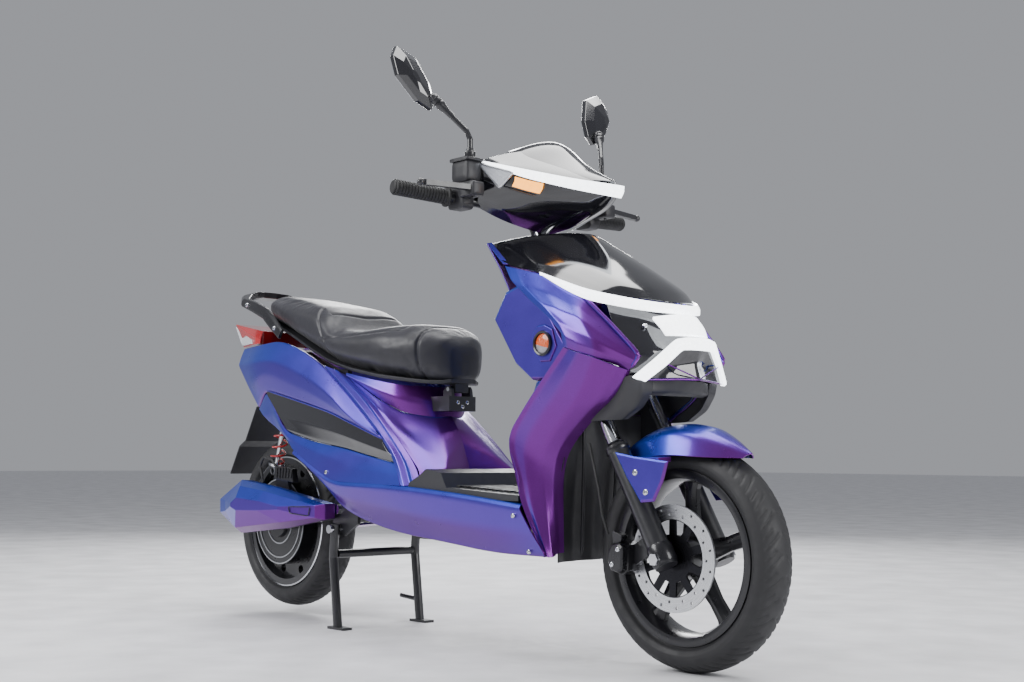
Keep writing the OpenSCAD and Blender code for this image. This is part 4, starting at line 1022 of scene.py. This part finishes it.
def spoke(turn):
    """Broad spoke: eight-sided sections along its radius, wide at the hub, waisted, and
    spread again at the rim, with a raised middle rib."""
    rings = []
    for radius, half, thick, rib in ((26, 21, 15, 18), (58, 19, 12, 16), (100, 14.5, 10, 13),
                                     (132, 15.5, 11, 13), (150, 22, 12, 13)):
        section = np.array([(half, 0.55 * thick), (0.5 * half, thick), (0, rib), (-0.5 * half, thick),
                            (-half, 0.55 * thick), (-half, -0.55 * thick), (0, -thick),
                            (half, -0.55 * thick)], float)
        along, across = radius, section[:, 0]
        rings.append(np.column_stack([
            along * math.cos(turn) - across * math.sin(turn), -section[:, 1],
            along * math.sin(turn) + across * math.cos(turn)]) + FRONT_AXLE / MM)
    return rings


for number in range(5):
    faceted(f"front_spoke_{number + 1}", spoke(math.radians(72 * number + 18)), "front_wheel",
            "cast_black", bevel=1.4)
trim = [(165.0, 37.2), (168.4, 36.6), (168.8, 37.4), (165.4, 38.6)]
trim_left = [(r, -y) for r, y in trim]
put("rear_rim_lines", *joined(spin(trim, REAR_AXLE, 160), spin(trim_left, REAR_AXLE, 160)),
    MATERIALS["steel"], "rear_wheel", "steel")
put("rear_hub_rings", *joined(*[spin([(radius, 32), (radius + 3, 33), (radius + 3, 57), (radius, 57)],
                                     REAR_AXLE, 120) for radius in (56, 92, 108)]),
    MATERIALS["aluminium"], "rear_wheel", "aluminium", sharp=30)

# ---- springs over the rear shocks ----

SHOCK_FOOT, SHOCK_HEAD = np.array([-628, -98, 372.0]), np.array([-575, -98, 574.0])
SHOCK_WAY = (SHOCK_HEAD - SHOCK_FOOT) / np.linalg.norm(SHOCK_HEAD - SHOCK_FOOT)
SPRING_LENGTH, SPRING_STROKE = 155.0, 38.0


def coil_spring(turns=6, radius=17.5, wire=2.4):
    """Helix round the shock's line with the ends wound closer, swept with a round wire."""
    t = np.linspace(0, 1, turns * 48 + 1)[:, None]
    angle = 2 * np.pi * turns * t
    rise = SPRING_LENGTH * (t - 0.035 * np.sin(2 * np.pi * t))
    side = np.array([SHOCK_WAY[2], 0, -SHOCK_WAY[0]])
    line = (SHOCK_FOOT + SHOCK_WAY * (22.9 + rise)
            + radius * (side * np.cos(angle) + np.array([0, 1.0, 0]) * np.sin(angle)))
    return sweep(line * MM, wire * MM, 12)


springs = put("rear_coil_springs", *joined(coil_spring(), mirrored(coil_spring())),
              MATERIALS["spring_red"], "shock_tops", "spring_red", ["shock_springs"])
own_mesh(springs)

# ---- motor covers, finned block, rail and tail lamp ----

COVER_RINGS = np.array([
    [(-330, -121, 262), (-330, -121, 296), (-560, -121, 330), (-700, -121, 346), (-806, -121, 292),
     (-806, -121, 262), (-700, -121, 214), (-484, -121, 236)],
    [(-332, -150, 258), (-332, -150, 296), (-560, -150, 334), (-706, -150, 348), (-812, -150, 296),
     (-811, -150, 261), (-703, -150, 211), (-484, -150, 232)],
    [(-352, -165, 262), (-352, -165, 292), (-560, -176, 322), (-667, -180, 333), (-760, -166, 292),
     (-758, -166, 266), (-690, -178, 226), (-484, -178, 247)],
    [(-480, -188, 278), (-480, -188, 286), (-560, -196, 298), (-650, -202, 304), (-676, -202, 290),
     (-676, -202, 280), (-650, -202, 272), (-560, -196, 274)]], float)
for side, name in ((1, "right"), (-1, "left")):
    flip = np.array([1.0, side, 1.0])
    faceted("motor_cover_" + name, COVER_RINGS * flip, "rear_arm", "paint", ["motor_covers"],
            bevel=1.6, soft=4)
    faceted("cable_block_" + name, np.array([
        [(-588, y, 352), (-584, y, 384), (-508, y, 378), (-500, y, 344)]
        for y in (-112, -128, -130)]) * flip, "rear_arm", "cast_black", bevel=2)
    ribs = [turned([(0, 2.2), (26, 2.2)], (-574 + 13 * k, -131 * side, 354 + 0.2 * k), (0.1, 0, 1), 12)
            for k in range(6)]
    put("cable_block_ribs_" + name, *joined(*ribs), MATERIALS["cast_black"], "rear_arm", "cast_black")
bead("motor_cover_line", [(-366, -170, 288), (-440, -183, 287), (-434, -182, 271), (-372, -171, 266),
                          (-366, -170, 288)], 1.3, "rear_arm", "cast_black", smooth=1)
bead("motor_cable", [(-646, -124, 346), (-662, -124, 386), (-640, -126, 408), (-606, -126, 402),
                     (-584, -124, 380)], 3.4, "rear_arm", "rubber", smooth=6)
RAIL = [((-560, -134, 719), (8, 0, 11), (0, -6, 0)), ((-600, -133, 749), (9, 0, 13), (0, -6.5, 0)),
        ((-640, -130, 778), (9, 0, 13), (0, -7, 0)), ((-704, -122, 800), (6, 0, 13), (-3, -8, 0)),
        ((-768, -112, 818), (4, 0, 11), (-6, -9, -1)), ((-802, -86, 834), (3.5, 0, 10), (-11, -11, -2)),
        ((-822, -56, 844), (3, 0, 9), (-14, -10, -3)), ((-834, -22, 847), (2, 0, 8), (-18, -3, -4))]
rail_half = [[np.add(c, np.multiply(u, a) + np.multiply(v, b)) for a, b in
              ((1, 0.6), (0.5, 1), (-0.5, 1), (-1, 0.6), (-1, -0.8), (1, -0.8))] for c, u, v in RAIL]
rail_half = np.array(rail_half, float)
faceted("grab_rail_casting", np.concatenate([rail_half, (rail_half * MIRROR_Y)[::-1]]), "chassis",
        "cast_black", ["grab_rail"], bevel=2.4, soft=16)
screws("rail_screws_right", [(-584, -140.5, 736), (-736, -128, 808)], OUT, 6, "chassis")
screws("rail_screws_left", [(-584, 140.5, 736), (-736, 128, 808)], (0, 1, 0), 6, "chassis")
faceted("tail_lamp", [
    [(-690, -128, 701), (-666, -128, 702), (-666, -128, 712), (-690, -128, 718)],
    [(-794, -98, 699), (-700, -98, 701), (-700, -98, 738), (-838, -98, 765)],
    [(-794, 98, 699), (-700, 98, 701), (-700, 98, 738), (-838, 98, 765)],
    [(-690, 128, 701), (-666, 128, 702), (-666, 128, 712), (-690, 128, 718)]], "chassis",
    "red_lens", ["tail_light"], bevel=1.5)
pair("tail_lamp_clear", [
    [(-836, -99, 757), (-800, -101, 740), (-716, -124, 714)],
    [(-812, -100, 722), (-797, -101, 704), (-712, -125, 704)]], "chassis", "white_light", OUT,
     steps=(5, 6), width=(0.3, 0.3), thick=3, material=MATERIALS["clear_lens"])

# ---- handlebar cowl ----

panel("cowl_face", [
    both_sides([(246, -174, 1040), (270, -128, 1058), (296, -68, 1072), (310, 0, 1078)]),
    both_sides([(264, -176, 1036), (340, -124, 1012), (424, -62, 988), (512, 0, 968)]),
    both_sides([(262, -174, 1018), (336, -122, 994), (418, -60, 968), (500, 0, 948)]),
    both_sides([(256, -172, 1000), (320, -126, 970), (392, -66, 944), (462, 0, 924)]),
    both_sides([(240, -168, 966), (280, -118, 936), (322, -60, 914), (358, 0, 902)]),
    both_sides([(214, -150, 948), (244, -104, 920), (272, -50, 902), (284, 0, 893)])],
    "steering", "gloss_black", (1, 0, 0), ["cowl_front"], steps=(8, 8), width=(0.7, 1.0))
panel("cowl_hood", [
    both_sides([(240, -112, 1058), (250, -84, 1076), (256, -40, 1090), (262, 0, 1096)]),
    both_sides([(276, -116, 1050), (290, -84, 1076), (304, -40, 1096), (312, 0, 1104)]),
    both_sides([(346, -96, 1014), (362, -66, 1026), (376, -32, 1034), (388, 0, 1038)]),
    both_sides([(424, -44, 988), (450, -30, 989), (470, -15, 988), (488, 0, 985)])],
    "steering", "gloss_black", (1, 0, 1), steps=(8, 8), width=(0.9, 0.9), thick=4)
panel("cowl_back", [
    both_sides([(240, -172, 1038), (250, -130, 1056), (262, -66, 1076), (270, 0, 1084)]),
    both_sides([(206, -172, 1010), (200, -120, 1024), (186, -60, 1036), (180, 0, 1038)]),
    both_sides([(196, -172, 986), (190, -120, 990), (180, -60, 996), (176, 0, 998)]),
    both_sides([(196, -168, 966), (192, -110, 950), (190, -56, 940), (190, 0, 936)])],
    "steering", "matte_black", (-1, 0, 0), ["cowl_rear"], steps=(8, 8), width=(0.7, 0.9))
panel("display_glass", [
    both_sides([(250, -54, 1082), (252, -26, 1085), (253, 0, 1086)]),
    both_sides([(222, -50, 1064), (222, -24, 1067), (222, 0, 1068)]),
    both_sides([(195, -46, 1047), (193, -22, 1050), (192, 0, 1051)])],
    "steering", "screen", (-1, 0, 1), ["display"], steps=(6, 6), width=(0.5, 0.5), thick=3)
panel("cowl_light_band", [
    both_sides([(262, -179, 1038), (342, -128, 1015), (428, -66, 991), (518, 0, 971)]),
    both_sides([(262, -179, 1036), (344, -127, 1004), (429, -65, 979), (516, 0, 957)]),
    both_sides([(262, -178, 1034), (341, -126, 996), (424, -65, 969), (507, 0, 946)])],
    "steering", "white_light", (1, 0, 0), ["cowl_light_bar"], steps=(4, 10), width=(0.5, 0.7),
    thick=5)
pair("front_signal", [
    [(324, -139, 1000), (350, -121, 990), (374, -104, 983)],
    [(323, -139, 990), (348, -121, 980), (372, -104, 972)],
    [(316, -140, 980), (340, -122, 970), (364, -105, 962)]], "steering", "amber_light",
     (1, -0.5, 0), ["front_signals"], steps=(5, 6), width=(0.5, 0.5), thick=4)
LENS = [(254, -182, 1033), (324, -142, 1008), (292, -153, 977)]
pair("corner_lens", [[LENS[0], LENS[1]], [(273, -168, 1004), LENS[2]]], "steering", "white_light",
     OUT, steps=(4, 4), width=(0.2, 0.2), thick=3, material=MATERIALS["clear_lens"])
bead("corner_lens_frame", [LENS[0], LENS[1], LENS[2], LENS[0]], 2.2, "steering", "aluminium",
     smooth=1)
bead("cowl_crease", [(252, -174, 1000), (308, -138, 976), (352, -103, 958)], 1.6, "steering",
     "gloss_black")

# ---- mirrors, grips and switches ----

MIRROR_OUTLINE = np.array([(248, 1150), (282, 1166), (322, 1218), (324, 1262), (308, 1288),
                           (262, 1268), (238, 1210), (236, 1170)], float)


def mirror_rings(levels):
    """Rings of a mirror head: the glass outline drawn in about (278 + shift, 1214) by a share,
    each plane leaning back as it rises."""
    rings = []
    for depth, share, shift in levels:
        middle = np.array([278 + shift, 1214])
        yz = middle + (MIRROR_OUTLINE - middle) * share
        rings.append(np.column_stack([176 + depth - (yz[:, 1] - 1160) * 0.34, yz]))
    return np.array(rings)


for side, name in ((-1, "right"), (1, "left")):
    flip = np.array([1.0, side, 1.0])
    faceted("mirror_shell_" + name, mirror_rings([(-15, 0.95, 0), (-12, 1.0, 0), (0, 1.0, 0),
            (15, 0.66, 10), (23, 0.2, 16)]) * flip, name + "_mirror", "gloss_black",
            ["mirror_head_" + name], bevel=1.0, soft=6)
    faceted("mirror_glass_" + name, mirror_rings([(-16, 0.86, 0), (-16.8, 0.92, 0),
            (-12, 0.93, 0)]) * flip, name + "_mirror", "steel", bevel=0.4,
            material=MATERIALS["mirror_glass"])
    way = np.array([-54, 49 * side, 74], float)
    neck = turned([(-62, 6.4), (-44, 7), (-30, 9), (-26, 11), (-22, 11), (-21, 9), (-18, 9),
                   (-17, 11.5), (-13, 11.5), (-12, 9.5), (-8, 9.5), (-6, 11), (0, 10)],
                  (190, 254 * side, 1174), way, 32)
    nut = turned([(-2, 11), (0, 12), (8, 12), (10, 9), (16, 7.5)], (250, 200 * side, 1046),
                 (0, 0, 1), 24)
    put("mirror_neck_" + name, *joined(neck, nut), MATERIALS["black_metal"], "steering",
        "black_metal", sharp=30)

BAR_BEND, GRIP_OUT = np.array([226, 105, 953.0]), np.array([172, 347, 972.0])
BAR_WAY = (GRIP_OUT - BAR_BEND) / np.linalg.norm(GRIP_OUT - BAR_BEND)
GRIP_IN = GRIP_OUT - 132 * BAR_WAY
ribs = [(0, 20), (2, 21.5), (6, 21.5), (8, 17)]
ribs += [(k + step, radius) for k in range(10, 122, 7) for step, radius in
         ((0, 16.8), (4.4, 16.8), (5.2, 15.4), (6.2, 15.4))]
ribs += [(123, 17), (126, 17), (127, 14), (130, 14), (131.4, 12)]
for side, name, body, node in ((1, "left", "steering", "left_grip"),
                               (-1, "right", "throttle", "throttle_grip")):
    flip = np.array([1.0, side, 1.0])
    put("ribbed_grip_" + name, *turned(ribs, GRIP_IN * flip, BAR_WAY * flip, 48),
        MATERIALS["rubber"], body, "rubber", [node], sharp=30)


def moulding(low, high, taper=0.9, count=40):
    """Rounded block from low to high: superellipse sections |x|^6 + |z|^6 = 1 stacked along
    its width, drawn in by the taper at both ends."""
    low, high = np.array(low, float), np.array(high, float)
    a = np.linspace(0, 2 * np.pi, count, endpoint=False)
    x = np.sign(np.cos(a)) * np.abs(np.cos(a)) ** (1 / 3)
    z = np.sign(np.sin(a)) * np.abs(np.sin(a)) ** (1 / 3)
    middle, half = (low + high) / 2, (high - low) / 2
    rings = [np.column_stack([middle[0] + half[0] * share * x,
                              np.full(count, middle[1] + half[1] * place),
                              middle[2] + half[2] * share * z])
             for place, share in ((-1, taper * 0.4), (-1, taper), (-0.86, 1), (0.86, 1),
                                  (1, taper), (1, taper * 0.4))]
    rings = [np.tile(middle + (0, -half[1], 0), (count, 1)), *rings,
             np.tile(middle + (0, half[1], 0), (count, 1))]
    return np.concatenate(rings) * MM, grid_faces(8, count, wrap_columns=True)


controls = joined(moulding((186, 176, 936), (238, 208, 992)),
                  moulding((228, 184, 958), (280, 216, 990)),
                  moulding((210, 180, 990), (264, 218, 1037)),
                  moulding((206, 176, 1034), (268, 222, 1042)))
put("bar_housings", *joined(controls, mirrored(controls)), MATERIALS["matte_black"], "steering",
    "matte_black", ["bar_controls"], sharp=50)
screws("housing_screws", [(222, 190, 1041), (252, 208, 1041), (222, -190, 1041), (252, -208, 1041)],
       (0, 0, 1), 3.5, "steering")

# ---- screws and small fittings on the body ----

screws("side_screws_right", [(373, -183, 293), (404, -168, 222), (-300, -170.5, 372),
                             (-560, -133, 500)], OUT, 5, "chassis")
screws("side_screws_left", [(373, 183, 293), (404, 168, 222), (-300, 170.5, 372), (-560, 133, 500)],
       (0, 1, 0), 5, "chassis")
screws("fascia_screws", [(642, -84, 668), (642, 84, 668)], (1, 0, 0), 5, "chassis")
